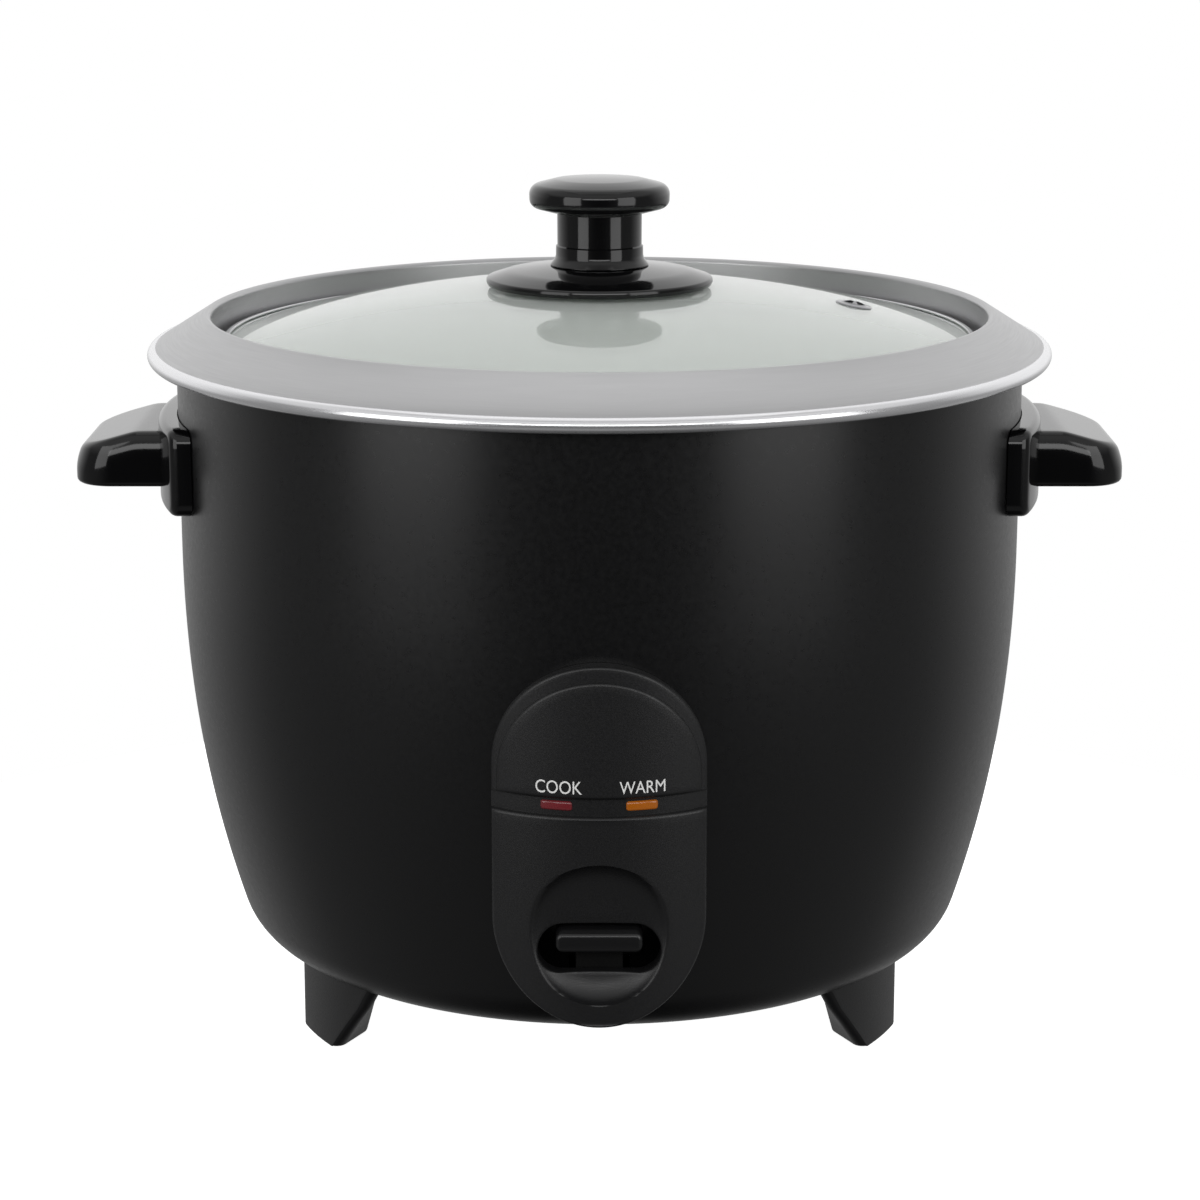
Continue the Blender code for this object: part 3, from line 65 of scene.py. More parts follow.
# ---------------------------------------------------------------- sizes, from the CAD
DRUM_LOW, DRUM_HIGH = span("outer_body")
DRUM_RADIUS = DRUM_HIGH[0]
DRUM_BOTTOM, DRUM_TOP = DRUM_LOW[2], DRUM_HIGH[2]
SHOULDER = DRUM_TOP - 64.0  # the wall is upright above this height
TAPER = 21.7  # how much narrower the drum is at its bottom
TAPER_POWER = 2.2
DRUM_CORNER = 20.0
DRUM_WALL = 1.2
POT_HIGH = span("inner_pot")[1]
GLASS_HIGH = span("lid_glass")[1]
PANEL_LOW, PANEL_HIGH = span("control_panel")
FASCIA_LOW, FASCIA_HIGH = span("panel_fascia")
HALF_PANEL = PANEL_HIGH[0]
PANEL_FRONT = PANEL_LOW[1]
NOSE = 55.03  # radius of the panel's face in plan
NOSE_Y = PANEL_FRONT + NOSE
FASCIA_THICKNESS = 1.5
GAP = 0.3  # between neighbouring pieces
SEAT = NOSE - FASCIA_THICKNESS - GAP  # radius of the face behind the fascia
GROOVE = 104.5  # height of the line between the panel's two halves
KEY_LOW, KEY_HIGH = span("cook_lever_key")


# ---------------------------------------------------------------- shapes
def unit(vector):
    """The vector divided by its own length."""
    return vector / np.linalg.norm(vector)


def rounded(corners, closed=False, steps=0):
    """A line through (a, b, radius) corners. Where the radius isn't zero the corner is a circular arc
    that touches both neighbouring edges: centre + radius times a unit vector turned evenly from one
    touching point to the other."""
    count = len(corners)
    places = [np.array(corner[:2], float) for corner in corners]
    line = []
    for i, corner in enumerate(corners):
        radius = corner[2]
        if radius == 0 or (not closed and i in (0, count - 1)):
            line.append(places[i][None])
            continue
        before = unit(places[i - 1] - places[i])
        after = unit(places[(i + 1) % count] - places[i])
        half = math.acos(np.clip(before @ after, -1, 1)) / 2
        centre = places[i] + unit(before + after) * radius / math.sin(half)
        start = places[i] + before * radius / math.tan(half) - centre
        stop = places[i] + after * radius / math.tan(half) - centre
        turn = math.pi - 2 * half
        amount = steps or max(2, math.ceil(math.degrees(turn) / 11))
        part = np.linspace(0, 1, amount + 1)[:, None] * turn
        line.append(centre + (start * np.sin(turn - part) + stop * np.sin(part)) / math.sin(turn))
    return np.concatenate(line)


def arc(centre, radius, start, stop, steps):
    """centre + radius (cos t, sin t), with t in degrees from start to stop."""
    t = np.radians(np.linspace(start, stop, steps + 1))
    return np.stack((centre[0] + radius * np.cos(t), centre[1] + radius * np.sin(t)), axis=-1)


def grid(points, rows=False, columns=True):
    """A table of points as a surface of four-sided cells. rows and columns say which way it closes on
    itself."""
    n, m = points.shape[:2]
    index = np.arange(n * m).reshape(n, m)
    if rows:
        index = np.vstack((index, index[:1]))
    if columns:
        index = np.hstack((index, index[:, :1]))
    cells = np.stack((index[:-1, :-1], index[:-1, 1:], index[1:, 1:], index[1:, :-1]), axis=-1)
    return points.reshape(-1, 3), cells.reshape(-1, 4)


def turned_points(line, steps):
    """x = r cos a, y = r sin a, z = h for each (r, h) of the line, with a going evenly once round."""
    a = np.linspace(0, TAU, steps, endpoint=False)
    r, h = line[:, :1], line[:, 1:]
    return np.stack((r * np.cos(a), r * np.sin(a), h + 0 * a), axis=-1)


def turned(line, steps=192, closed=False):
    """The line turned about the Z axis. closed joins its last point to its first."""
    return grid(turned_points(line, steps), rows=closed)


def thickened(outside, inside, keep):
    """Two sheets of the same layout, outside and inside, whose cells exist where keep says, joined by
    walls along every edge between a cell that exists and one that doesn't. The columns close on
    themselves."""
    n, m = outside.shape[:2]
    top = np.arange(n * m).reshape(n, m)
    low = top + n * m
    right, low_right = np.roll(top, -1, 1), np.roll(low, -1, 1)
    cells = [
        np.stack((top[:-1], right[:-1], right[1:], top[1:]), -1)[keep],
        np.stack((low[:-1], low[1:], low_right[1:], low_right[:-1]), -1)[keep],
    ]
    padded = np.pad(keep, ((1, 1), (0, 0)))
    ends, starts = padded[:-1] & ~padded[1:], ~padded[:-1] & padded[1:]
    cells.append(np.stack((top, right, low_right, low), -1)[ends])
    cells.append(np.stack((right, top, low, low_right), -1)[starts])
    left = np.roll(keep, 1, 1)
    ends, starts = left & ~keep, ~left & keep
    cells.append(np.stack((top[1:], top[:-1], low[:-1], low[1:]), -1)[ends])
    cells.append(np.stack((top[:-1], top[1:], low[1:], low[:-1]), -1)[starts])
    return np.concatenate((outside.reshape(-1, 3), inside.reshape(-1, 3))), np.concatenate(cells)


def inward(line, distance):
    """The line moved to its left by distance: each point plus distance times the normal of its
    neighbours' chord."""
    chord = np.gradient(line, axis=0)
    normal = np.stack((-chord[:, 1], chord[:, 0]), -1)
    return line + distance * normal / np.linalg.norm(normal, axis=1, keepdims=True)


def plan_loop(half_a, half_b, corner, inset=0.0, along=6, round_steps=8):
    """A rectangle with round corners, as a closed loop of (a, b) points: each side cut evenly, and each
    corner centre + radius (cos t, sin t). inset makes it smaller all round."""
    radius = max(corner - inset, 0.01)
    a, b = half_a - inset - radius, half_b - inset - radius
    loop = []
    for start, (sa, sb), (na, nb) in (
        (0, (1, 1), (-1, 1)),
        (90, (-1, 1), (-1, -1)),
        (180, (-1, -1), (1, -1)),
        (270, (1, -1), (1, 1)),
    ):
        bend = arc((sa * a, sb * b), radius, start, start + 90, round_steps)
        loop.append(bend)
        after = arc((na * a, nb * b), radius, start + 90, start + 91, 1)[0]
        part = np.linspace(0, 1, along + 1)[1:-1, None]
        loop.append(bend[-1] + (after - bend[-1]) * part)
    return np.concatenate(loop)


def block(low, high, corner, edge, axis=1, steps=4):
    """A box between two corners with round edges: loops of a rounded rectangle that shrink by edge (1 -
    sin t) and move by edge (1 - cos t) at both ends, closed to a point in the middle of each end. axis is
    its length."""
    low, high = np.array(low, float), np.array(high, float)
    others = [i for i in range(3) if i != axis]
    middle, half = (low + high) / 2, (high - low) / 2
    t = np.linspace(0, math.pi / 2, steps + 1)
    insets = np.concatenate((edge * (1 - np.sin(t)), edge * (1 - np.sin(t[::-1]))))
    places = np.concatenate((low[axis] + edge * (1 - np.cos(t)), high[axis] - edge * (1 - np.cos(t[::-1]))))
    loops = []
    for inset, place in zip(insets, places):
        flat = plan_loop(half[others[0]], half[others[1]], corner, inset)
        loop = np.empty((len(flat), 3))
        loop[:, others[0]] = flat[:, 0] + middle[others[0]]
        loop[:, others[1]] = flat[:, 1] + middle[others[1]]
        loop[:, axis] = place
        loops.append(loop)
    return capped(loops)


def capped(loops):
    """Loops of points as a tube, closed at both ends by a fan of cells to the middle of the end loop."""
    first, last = loops[0], loops[-1]
    return grid(np.stack([first.mean(0) + 0 * first] + list(loops) + [last.mean(0) + 0 * last]))


def moved(part, matrix=None, offset=(0, 0, 0)):
    """A surface turned by a 3 by 3 matrix and then moved."""
    points = part[0] if matrix is None else part[0] @ np.array(matrix, float).T
    return (points + np.array(offset), *part[1:])


def volume(points, cells):
    """Six times the signed volume inside a closed surface."""
    a, b, c, d = (points[cells[:, i]] for i in range(4))
    return np.einsum("ij,ij->i", a, np.cross(b, c)).sum() + np.einsum("ij,ij->i", a, np.cross(c, d)).sum()


def piece(name, parts, finishes, body="root", cad=None, sharp=40):
    """One mesh object from surfaces (points, cells, material number). Points that fall together are
    merged, cells with a repeated corner become triangles, and every surface faces outwards. It stands for
    the CAD nodes in cad."""
    points, cells, numbers, count = [], [], [], 0
    for part in parts:
        p, c = part[0], part[1]
        number = part[2] if len(part) > 2 else 0
        if volume(p, c) < 0:
            c = c[:, ::-1]
        points.append(p)
        cells.append(c + count)
        numbers.append(np.broadcast_to(number, len(c)))
        count += len(p)
    points, cells, numbers = np.concatenate(points), np.concatenate(cells), np.concatenate(numbers)
    rounded_off = np.round(points / MERGE).astype(np.int64)
    _, first, place = np.unique(rounded_off, axis=0, return_index=True, return_inverse=True)
    points, cells = points[first], place.reshape(-1)[cells]
    keep = cells != np.roll(cells, -1, 1)
    good = keep.sum(1) > 2
    cells, keep, numbers = cells[good], keep[good], numbers[good]
    corners = cells[keep]
    starts = np.concatenate(([0], np.cumsum(keep.sum(1))[:-1]))
    mesh = bpy.data.meshes.new(name)
    mesh.vertices.add(len(points))
    mesh.vertices.foreach_set("co", (points * MM).ravel())
    mesh.loops.add(len(corners))
    mesh.loops.foreach_set("vertex_index", corners)
    mesh.polygons.add(len(starts))
    mesh.polygons.foreach_set("loop_start", starts)
    mesh.polygons.foreach_set("material_index", numbers)
    mesh.update(calc_edges=True)
    mesh.validate()
    mesh.shade_smooth()
    mesh.set_sharp_from_angle(angle=math.radians(sharp))
    obj = bpy.data.objects.new(name, mesh)
    bpy.context.scene.collection.objects.link(obj)
    for finish in finishes if isinstance(finishes, (list, tuple)) else [finishes]:
        mesh.materials.append(finish)
    nodes = cad or [name]
    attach(obj, body)
    if cad != []:
        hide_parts(*nodes)
    return obj


# ---------------------------------------------------------------- finishes
def srgb(code):
    """Linear colour of an sRGB hex code."""
    value = np.array([int(code[i : i + 2], 16) / 255 for i in (0, 2, 4)])
    linear = np.where(value <= 0.04045, value / 12.92, ((value + 0.055) / 1.055) ** 2.4)
    return (*linear.tolist(), 1.0)


def node(tree, kind, settings=(), links=()):
    """Adds a shader node, with its settings and what feeds its inputs."""
    made = tree.nodes.new("ShaderNode" + kind)
    for key, value in dict(settings).items():
        if isinstance(key, str) and hasattr(made, key):
            setattr(made, key, value)
        else:
            made.inputs[key].default_value = value
    for key, source in dict(links).items():
        tree.links.new(source, made.inputs[key])
    return made


def round_axis(tree, place, fine, along):
    """A four-dimensional place that hardly changes along a circle about the Z axis: the direction times
    along, the height times fine, and the radius times fine as the fourth number."""
    flat = node(tree, "VectorMath", {"operation": "MULTIPLY", 1: (1.0, 1.0, 0.0)}, {0: place})
    radius = node(tree, "VectorMath", {"operation": "LENGTH"}, {0: flat.outputs[0]})
    way = node(tree, "VectorMath", {"operation": "NORMALIZE"}, {0: flat.outputs[0]})
    way = node(tree, "VectorMath", {"operation": "SCALE", "Scale": along}, {0: way.outputs[0]})
    up = node(tree, "VectorMath", {"operation": "MULTIPLY", 1: (0.0, 0.0, fine)}, {0: place})
    both = node(tree, "VectorMath", {"operation": "ADD"}, {0: way.outputs[0], 1: up.outputs[0]})
    out = node(tree, "Math", {"operation": "MULTIPLY", 1: fine}, {0: radius.outputs["Value"]})
    return both.outputs[0], out.outputs[0]


def surface(name, colour, roughness, metallic=0.0, grain=0.5, relief=0.0, vary=0.0, turned=0.0, **inputs):
    """A Principled material. grain is the size of its pattern in millimetres, relief the height of it,
    vary how much the roughness changes with it, and turned, above zero, draws the pattern out along
    circles about the Z axis."""
    material = bpy.data.materials.new(name)
    material.use_nodes = True
    tree = material.node_tree
    shader = tree.nodes["Principled BSDF"]
    shader.inputs["Base Color"].default_value = srgb(colour)
    shader.inputs["Metallic"].default_value = metallic
    shader.inputs["Roughness"].default_value = roughness
    material.diffuse_color = srgb(colour)
    for key, value in inputs.items():
        shader.inputs[key.replace("_", " ")].default_value = value
    if not relief and not vary:
        return material
    place = node(tree, "TexCoord").outputs["Object"]
    per_metre = 1.0 / (grain * MM)
    if turned:
        vector, fourth = round_axis(tree, place, per_metre, turned)
        settings = {"noise_dimensions": "4D", "Scale": 1.0, "Detail": 2.0}
        noise = node(tree, "TexNoise", settings, {"Vector": vector, "W": fourth})
    else:
        noise = node(tree, "TexNoise", {"Scale": per_metre, "Detail": 2.0}, {"Vector": place})
    height = noise.outputs["Fac"]
    if relief:
        bump = node(tree, "Bump", {"Strength": 1.0, "Distance": relief * MM}, {"Height": height})
        tree.links.new(bump.outputs["Normal"], shader.inputs["Normal"])
    if vary:
        settings = {"From Min": 0.3, "From Max": 0.7, "To Min": max(0.0, roughness - vary)}
        settings["To Max"] = roughness + vary
        ramp = node(tree, "MapRange", settings, {"Value": height})
        tree.links.new(ramp.outputs["Result"], shader.inputs["Roughness"])
    return material


# Satin paint: soft wide sheen with the faint orange peel of a sprayed steel drum
PAINT = surface("satin_black_paint", "0C0C0D", 0.30, grain=1.6, relief=0.006, vary=0.03)
# Polished phenolic: near-black with mirror-like highlights and slight moulding waviness
PHENOLIC = surface("gloss_black_phenolic", "0B0B0C", 0.09, grain=9.0, relief=0.008, IOR=1.48)
# Spark-eroded mould texture: fine matt grain that breaks up reflections
ABS = surface("spark_textured_black_abs", "151516", 0.40, grain=0.45, relief=0.030, vary=0.06)
# Smoother black ABS of the key
ABS_SMOOTH = surface("satin_black_abs", "131314", 0.30, grain=0.6, relief=0.002, vary=0.02)
# Painted shade: a darker, duller black than the key's own, put on the key's leg behind the panel where only
# shade falls
SHADE_BLACK = surface("painted_shade_black", "050505", 0.7, grain=0.5, relief=0.01, Specular_IOR_Level=0.2)
# Brushed aluminium: fine lines round the axis
BRUSHED = surface("brushed_aluminium", "B6B6B7", 0.36, 1.0, grain=0.35, relief=0.004, vary=0.05, turned=9.0)
# Rolled lip, burnished bright
BRIGHT = surface(
    "burnished_aluminium_lip", "E8E8EA", 0.20, 0.8, grain=0.5, relief=0.002, vary=0.02, turned=6.0
)
# The pot's well, inside and out: matt, near-white and not metallic; the pale colour is painted light that
# stands for the bright interior seen through the lid
PALE_WELL_PAINTED_LIGHT = surface("pale_aluminium_painted_light", "FAFBF8", 0.5, 0.0, grain=0.9, relief=0.006, vary=0.06, turned=5.0)
# Polished stainless: bright mirror with a trace of polishing haze
STAINLESS = surface("polished_stainless", "D2D2D4", 0.10, 1.0, grain=1.2, relief=0.001, vary=0.03)
# Pressed steel of the vent: darker than the polished band
STEEL = surface("pressed_steel", "8E8E90", 0.16, 1.0, grain=1.0, relief=0.002, vary=0.04)
# Zinc plating: cool grey, cloudy
ZINC = surface("zinc_plated_steel", "AEB3B8", 0.34, 1.0, grain=2.5, relief=0.004, vary=0.10)
# Cast aluminium with turned rings
CASTING = surface("turned_cast_aluminium", "B4B4B5", 0.38, 1.0, grain=0.9, relief=0.02, vary=0.06, turned=2.0)
# Tempered glass, part see-through and part milky, and a weaker mirror than bare glass; the milky share is
# painted light that stands for the pale studio light the glass reflects and lets through
GLASS = surface("tempered_glass", "F8FDF9", 0.0, Transmission_Weight=0.62, IOR=1.36)
# Lamp lenses: smooth tinted plastic with a clear sharp shine; the amber one glows faintly
RED = surface("red_neon_lens", "7E2A30", 0.12, Transmission_Weight=0.15, IOR=1.49, Coat_Weight=0.5)
AMBER = surface("amber_neon_lens", "A35A12", 0.12, Transmission_Weight=0.15, IOR=1.49, Coat_Weight=0.5)
AMBER_SHADER = AMBER.node_tree.nodes["Principled BSDF"].inputs
AMBER_SHADER["Emission Color"].default_value = srgb("E07810")
AMBER_SHADER["Emission Strength"].default_value = 0.12
# Bright brass of the inlet's pins: a warm soft mirror
BRASS = surface("bright_brass", "D8B56A", 0.22, 1.0, grain=1.0, relief=0.002, vary=0.05)
# Ground ferrite: dark grey and dull, with a fine tooth
FERRITE = surface("ground_ferrite", "2B2A2A", 0.5, grain=0.5, relief=0.01, vary=0.1)
# Moulded silicone: soft dark sheen
SILICONE = surface("black_silicone", "1A1A1B", 0.45, IOR=1.41)
# Woven glass sleeving of the leads: off-white and rough
SLEEVE = surface("woven_sleeving", "DAD8CC", 0.8, grain=0.5, relief=0.08)
# Glossy red plastic of the switch button
RED_PLASTIC = surface("red_switch_button", "A02A28", 0.3, grain=1.0, relief=0.002)
# Screen-printed ink: flat white that stands a hair proud
INK = surface("white_screen_ink", "F2F2F0", 0.5, grain=0.3, relief=0.003)
BY_SLOT = {
    "satin_black_paint": PAINT,
    "gloss_black_phenolic": PHENOLIC,
    "textured_black_plastic": ABS,
    "brushed_aluminium": BRUSHED,
    "polished_stainless": STAINLESS,
    "zinc_plated_steel": ZINC,
    "cast_aluminium": CASTING,
    "tempered_glass": GLASS,
    "red_lens": RED_PLASTIC,
    "amber_lens": AMBER,
    "brass_pins": BRASS,
    "dark_ferrite": FERRITE,
    "clear_silicone": SILICONE,
    "white_sleeving": SLEEVE,
}
for name, obj in frame["nodes"].items():
    obj.data.materials.clear()
    obj.data.materials.append(BY_SLOT[SLOTS[name]])


# ---------------------------------------------------------------- drum
ARM_WINDOW = (45.0, 56.0)  # lowest and highest edge of the opening for the lever's arm
ARM_WINDOW_HALF = 8.0


def drum_radius(z):
    """R - taper ((shoulder - z) / (shoulder - bottom)) ^ 2.2 below the shoulder."""
    below = np.clip(SHOULDER - np.asarray(z, float), 0, None) / (SHOULDER - DRUM_BOTTOM)
    return DRUM_RADIUS - TAPER * below**TAPER_POWER


def drum_profile():
    """The drum's outside from its top lip down to its turned-in bottom: upright, tapered by a power law,
    then a quarter-round corner that meets the wall at the wall's own slope."""
    height, angle = DRUM_BOTTOM + DRUM_CORNER, 0.0
    for _ in range(30):
        below = (SHOULDER - height) / (SHOULDER - DRUM_BOTTOM)
        angle = math.atan(TAPER_POWER * TAPER / (SHOULDER - DRUM_BOTTOM) * below ** (TAPER_POWER - 1))
        height = DRUM_BOTTOM + DRUM_CORNER * (1 - math.sin(angle))
    top = [(DRUM_RADIUS - 6, DRUM_TOP, 0), (DRUM_RADIUS, DRUM_TOP, 1.5), (DRUM_RADIUS, DRUM_TOP - 8, 0)]
    top = rounded(top)
    heights = np.sort(np.concatenate((np.linspace(SHOULDER, height, 26), ARM_WINDOW)))[::-1]
    wall = np.stack((drum_radius(heights), heights), -1)
    centre = (drum_radius(height) - DRUM_CORNER * math.cos(angle), DRUM_BOTTOM + DRUM_CORNER)
    corner = arc(centre, DRUM_CORNER, -math.degrees(angle), -90, 12)[1:]
    return np.concatenate((top, wall, corner, [(corner[-1][0] - 12, DRUM_BOTTOM)]))


def make_drum():
    """The profile turned about the axis, as a sheet one wall thick, without the cells of the arm's
    window."""
    line = drum_profile()
    outside = turned_points(line, 256)
    inside = turned_points(inward(line, -DRUM_WALL), 256)
    middle = (outside[:-1] + np.roll(outside[1:], -1, 1)) / 2
    x, y, z = middle[..., 0], middle[..., 1], middle[..., 2]
    window = (np.abs(x) < ARM_WINDOW_HALF) & (y < 0) & (z > ARM_WINDOW[0]) & (z < ARM_WINDOW[1])
    piece("outer_body", [thickened(outside, inside, ~window)], PAINT)


make_drum()


# ---------------------------------------------------------------- pot
RIM = POT_HIGH[0]
FLANGE_TILT = math.radians(33)
SLOPE = math.tan(FLANGE_TILT)
RIM_Z = 219.99  # height of the flange's top, carried on to the rim's radius
SEAT_Z = 217.5  # the lid rests here
COLLAR = 124.5  # radius inside the collar
WELL = 118.5  # radius inside the well
POT_FLOOR = 95.0
POT_WALL = 1.5
LIP = 2.3  # radius of the rolled lip
LIP_Z = 219.4


def make_pot():
    """One turned section: well, lid seat, collar, crest, sloping flange, rolled lip, and back underneath.
    The flange's two faces are straight lines, one wall apart, that rise inwards by the tangent of its
    tilt."""
    crest = POT_HIGH[2]
    lip = (RIM - LIP, LIP_Z)

    def over(r):
        return RIM_Z + (RIM - r) * SLOPE

    def under(r):
        return RIM_Z - POT_WALL / math.cos(FLANGE_TILT) + (RIM - r) * SLOPE

    inside = [(0, POT_FLOOR, 0), (WELL, POT_FLOOR, 26), (WELL, SEAT_Z, 2.0), (COLLAR, SEAT_Z, 1.0)]
    inside += [(COLLAR, crest - 0.2, 1.6), (COLLAR + 1.9, crest, 1.4)]
    inside += [(lip[0] - 0.3, over(lip[0] - 0.3), 0)]
    under_start, under_stop = RIM - 2 * LIP, COLLAR + 2.2
    collar_back, well_back = COLLAR + POT_WALL, WELL + POT_WALL
    outside = [(under_start, under(under_start), 0), (under_stop, under(under_stop), 1.2)]
    outside += [(collar_back, 226, 1.5), (collar_back, SEAT_Z - POT_WALL, 1.2)]
    outside += [(well_back, SEAT_Z - POT_WALL, 1.0), (well_back, POT_FLOOR - POT_WALL, 27.5)]
    outside += [(0, POT_FLOOR - POT_WALL, 0)]
    part = turned(np.concatenate((rounded(inside), arc(lip, LIP, 95, -215, 40), rounded(outside))), 256)
    middle = part[0][part[1]].mean(1)
    radius = np.hypot(middle[:, 0], middle[:, 1])
    well = (radius < (WELL + COLLAR) / 2 + 0.5) | (middle[:, 2] < SEAT_Z)
    number = np.where(radius > lip[0] - 0.5, 1, np.where(well, 2, 0))
    # The well's cells take the pale finish, whose brightness is painted light
    piece("inner_pot", [(*part, number)], [BRUSHED, BRIGHT, PALE_WELL_PAINTED_LIGHT], "pot", sharp=50)


make_pot()


# ---------------------------------------------------------------- lid
GLASS_RADIUS = GLASS_HIGH[0]
GLASS_TOP = GLASS_HIGH[2]
GLASS_LAND = 14.6  # radius of the flat top under the knob
GLASS_RISE = 16.1
GLASS_THICKNESS = 4.0
SCREW_HOLE = 2.5  # radius of the hole for the knob's screw


def glass_height(r):
    """A parabola that falls by the rise from the flat land to the rim."""
    part = np.clip(np.asarray(r, float) - GLASS_LAND, 0, None) / (GLASS_RADIUS - GLASS_LAND)
    return GLASS_TOP - GLASS_RISE * part**2


def make_glass():
    """The parabola and the same curve one thickness lower, joined at the rim by two quarter-round
    arcs."""
    bend = 1.6
    edge_r = GLASS_RADIUS - bend
    edge_z = float(glass_height(edge_r))
    r = np.concatenate(([SCREW_HOLE, 8.0], np.linspace(GLASS_LAND, edge_r, 48)))
    top = np.stack((r, glass_height(r)), -1)
    edge = arc((edge_r, edge_z - bend), bend, 78, 0, 6)
    low_edge = arc((edge_r, edge_z - GLASS_THICKNESS + bend), bend, 0, -78, 6)
    under = np.stack((r, glass_height(r) - GLASS_THICKNESS), -1)[::-1]
    part = turned(np.concatenate((top, edge, low_edge, under)), 256, closed=True)
    piece("lid_glass", [part], GLASS, "lid", sharp=60)


make_glass()
BAND_LOW, BAND_HIGH = span("lid_rim_band")


def make_band():
    """A channel rolled round the glass: round outside, with its lips hemmed inwards."""
    outer, low, high, wall = BAND_HIGH[0], BAND_LOW[2], BAND_HIGH[2], 0.8
    lip = GLASS_RADIUS - 1.5
    corners = [(lip, high, 0.3), (outer, high - 0.4, 1.7), (outer, low, 1.2), (lip - 2.5, low, 0.3)]
    corners += [(lip - 2.5, low + wall, 0.3), (outer - wall, low + wall, 0.5)]
    corners += [(outer - wall, high - 0.4 - wall, 0.9), (lip, high - wall, 0.3)]
    part = turned(rounded(corners, closed=True), 256, closed=True)
    piece("lid_rim_band", [part], STAINLESS, "lid", sharp=50)


make_band()


def make_vent():
    """A pressed eyelet: a dome with four openings round a cross, a rolled flange and a barrel through the
    glass. It leans by the angle whose tangent is the slope of the glass's parabola there."""
    place, steps, arm = 82.0, 48, 13
    tilt = math.atan(2 * GLASS_RISE * (place - GLASS_LAND) / (GLASS_RADIUS - GLASS_LAND) ** 2)
    r = np.array([0, 0.9, 1.3, 2.2, 3.1, 3.6, 4.2, 4.9, 5.6, 6.0])
    h = np.array([1.45, 1.42, 1.38, 1.2, 0.95, 0.8, 0.5, 0.42, 0.38, 0.1]) + 0.05
    outside = turned_points(np.stack((r, h), -1), steps)
    inside = turned_points(np.stack((r * 0.97, h - 0.35), -1), steps)
    rings = (r[:-1] >= 1.3) & (r[1:] <= 3.7)
    angle = (np.arange(steps) + 0.5) * 360 / steps % 90
    open_cells = rings[:, None] & (np.abs(angle - 45) < 45 - arm)[None]
    corners = [(4.0, 0.4, 0), (4.0, -4.3, 0), (5.5, -4.3, 0.2), (5.5, -5.1, 0.2), (2.2, -5.1, 0.3)]
    corners += [(2.2, -4.4, 0.3), (3.5, -4.2, 0.5), (3.5, 0.4, 0)]
    barrel = turned(rounded(corners), steps, closed=True)
    c, s = math.cos(tilt), math.sin(tilt)
    matrix = [[c, 0, s], [0, 1, 0], [-s, 0, c]]
    offset = (place, 0, float(glass_height(place)))
    parts = [moved(thickened(outside, inside, ~open_cells), matrix, offset), moved(barrel, matrix, offset)]
    piece("vent_eyelet", parts, STEEL, "lid", sharp=50)


make_vent()


def make_knob():
    """Knob, skirt, gasket and washer, each turned from its own section. The knob's top is part of a wide
    circle."""
    low, high = span("lid_knob")
    z, top = low[2], high[2]
    crown, bore = 190.0, 12.0
    cap = [(14.6, top - 0.56, 0), (22.6, top - 2.6, 3.4), (22.4, top - 9.0, 2.8), (15.2, top - 10.9, 0.6)]
    stem = [(13.6, top - 10.9, 0.5), (13.55, z + 6.4, 0)]
    foot = [(14.0, z + 6.0, 0), (14.05, z + 2.3, 3.2), (15.8, z + 0.2, 0), (15.8, z, 0)]
    hole = [(SCREW_HOLE, z), (SCREW_HOLE, z + bore), (0, z + bore)]
    line = np.concatenate(
        (arc((0, top - crown), crown, 90, 85.6, 8), rounded(cap + stem)[1:], rounded(foot), hole)
    )
    piece("lid_knob", [turned(line, 128)], PHENOLIC, "lid", sharp=32)
    low, high = span("knob_skirt")
    z, top, edge = low[2] + 1.4, high[2], high[0]
    corners = [(SCREW_HOLE, top, 0.2), (16.0, top, 1.5), (edge * 0.8, top - 1.5, 20.0)]
    corners += [(edge - 0.2, z + 1.0, 0.9), (edge, z - 0.2, 0.6), (edge - 0.5, low[2], 0.3)]
    corners += [(edge * 0.86, z, 1.0), (SCREW_HOLE, z, 0.2)]
    part = turned(rounded(corners, closed=True), 160, closed=True)
    piece("knob_skirt", [part], PHENOLIC, "lid", sharp=32)
    for name, finish in (("knob_gasket", SILICONE), ("knob_washer", ZINC)):
        low, high = span(name)
        r, z, top = high[0], low[2], high[2]
        corners = [(SCREW_HOLE, top, 0.2), (r, top, 0.4), (r, z, 0.4), (SCREW_HOLE, z, 0.2)]
        piece(name, [turned(rounded(corners, closed=True), 96, closed=True)], finish, "lid")


make_knob()


# ---------------------------------------------------------------- screws, plates and other turned pieces
def screw(name, axis, head_at_low=True, body="root"):
    """A pan-headed screw along one axis, turned from one section: a domed head with a shallow dimple for
    its recess, a shank and a tapered point."""
    low, high = span(name)
    others = [i for i in range(3) if i != axis]
    middle = (low + high) / 2
    length, head = high[axis] - low[axis], (high[others[0]] - low[others[0]]) / 2
    depth, shank = 2.4, 2.0
    corners = [(0, 0.7, 0), (1.2, 0.25, 0.3), (head * 0.7, 0.12, 1.0), (head, 1.1, 0.5), (head, depth, 0.3)]
    corners += [(shank, depth, 0.2), (shank, length - shank, 0.5), (0, length, 0)]
    points, cells = turned(rounded(corners), 32)
    along, a, b = points[:, 2], points[:, 0], points[:, 1]
    placed = np.empty_like(points)
    placed[:, axis] = low[axis] + along if head_at_low else high[axis] - along
    placed[:, others[0]] = middle[others[0]] + a
    placed[:, others[1]] = middle[others[1]] + b
    piece(name, [(placed, cells)], BY_SLOT[SLOTS[name]], body)


for name in ("foot_screw_front_left", "foot_screw_front_right", "foot_screw_rear"):
    screw(name, 2)
screw("knob_screw", 2, body="lid")
for end in ("front", "rear"):
    screw(f"left_handle_screw_{end}", 0, head_at_low=False)
    screw(f"right_handle_screw_{end}", 0)


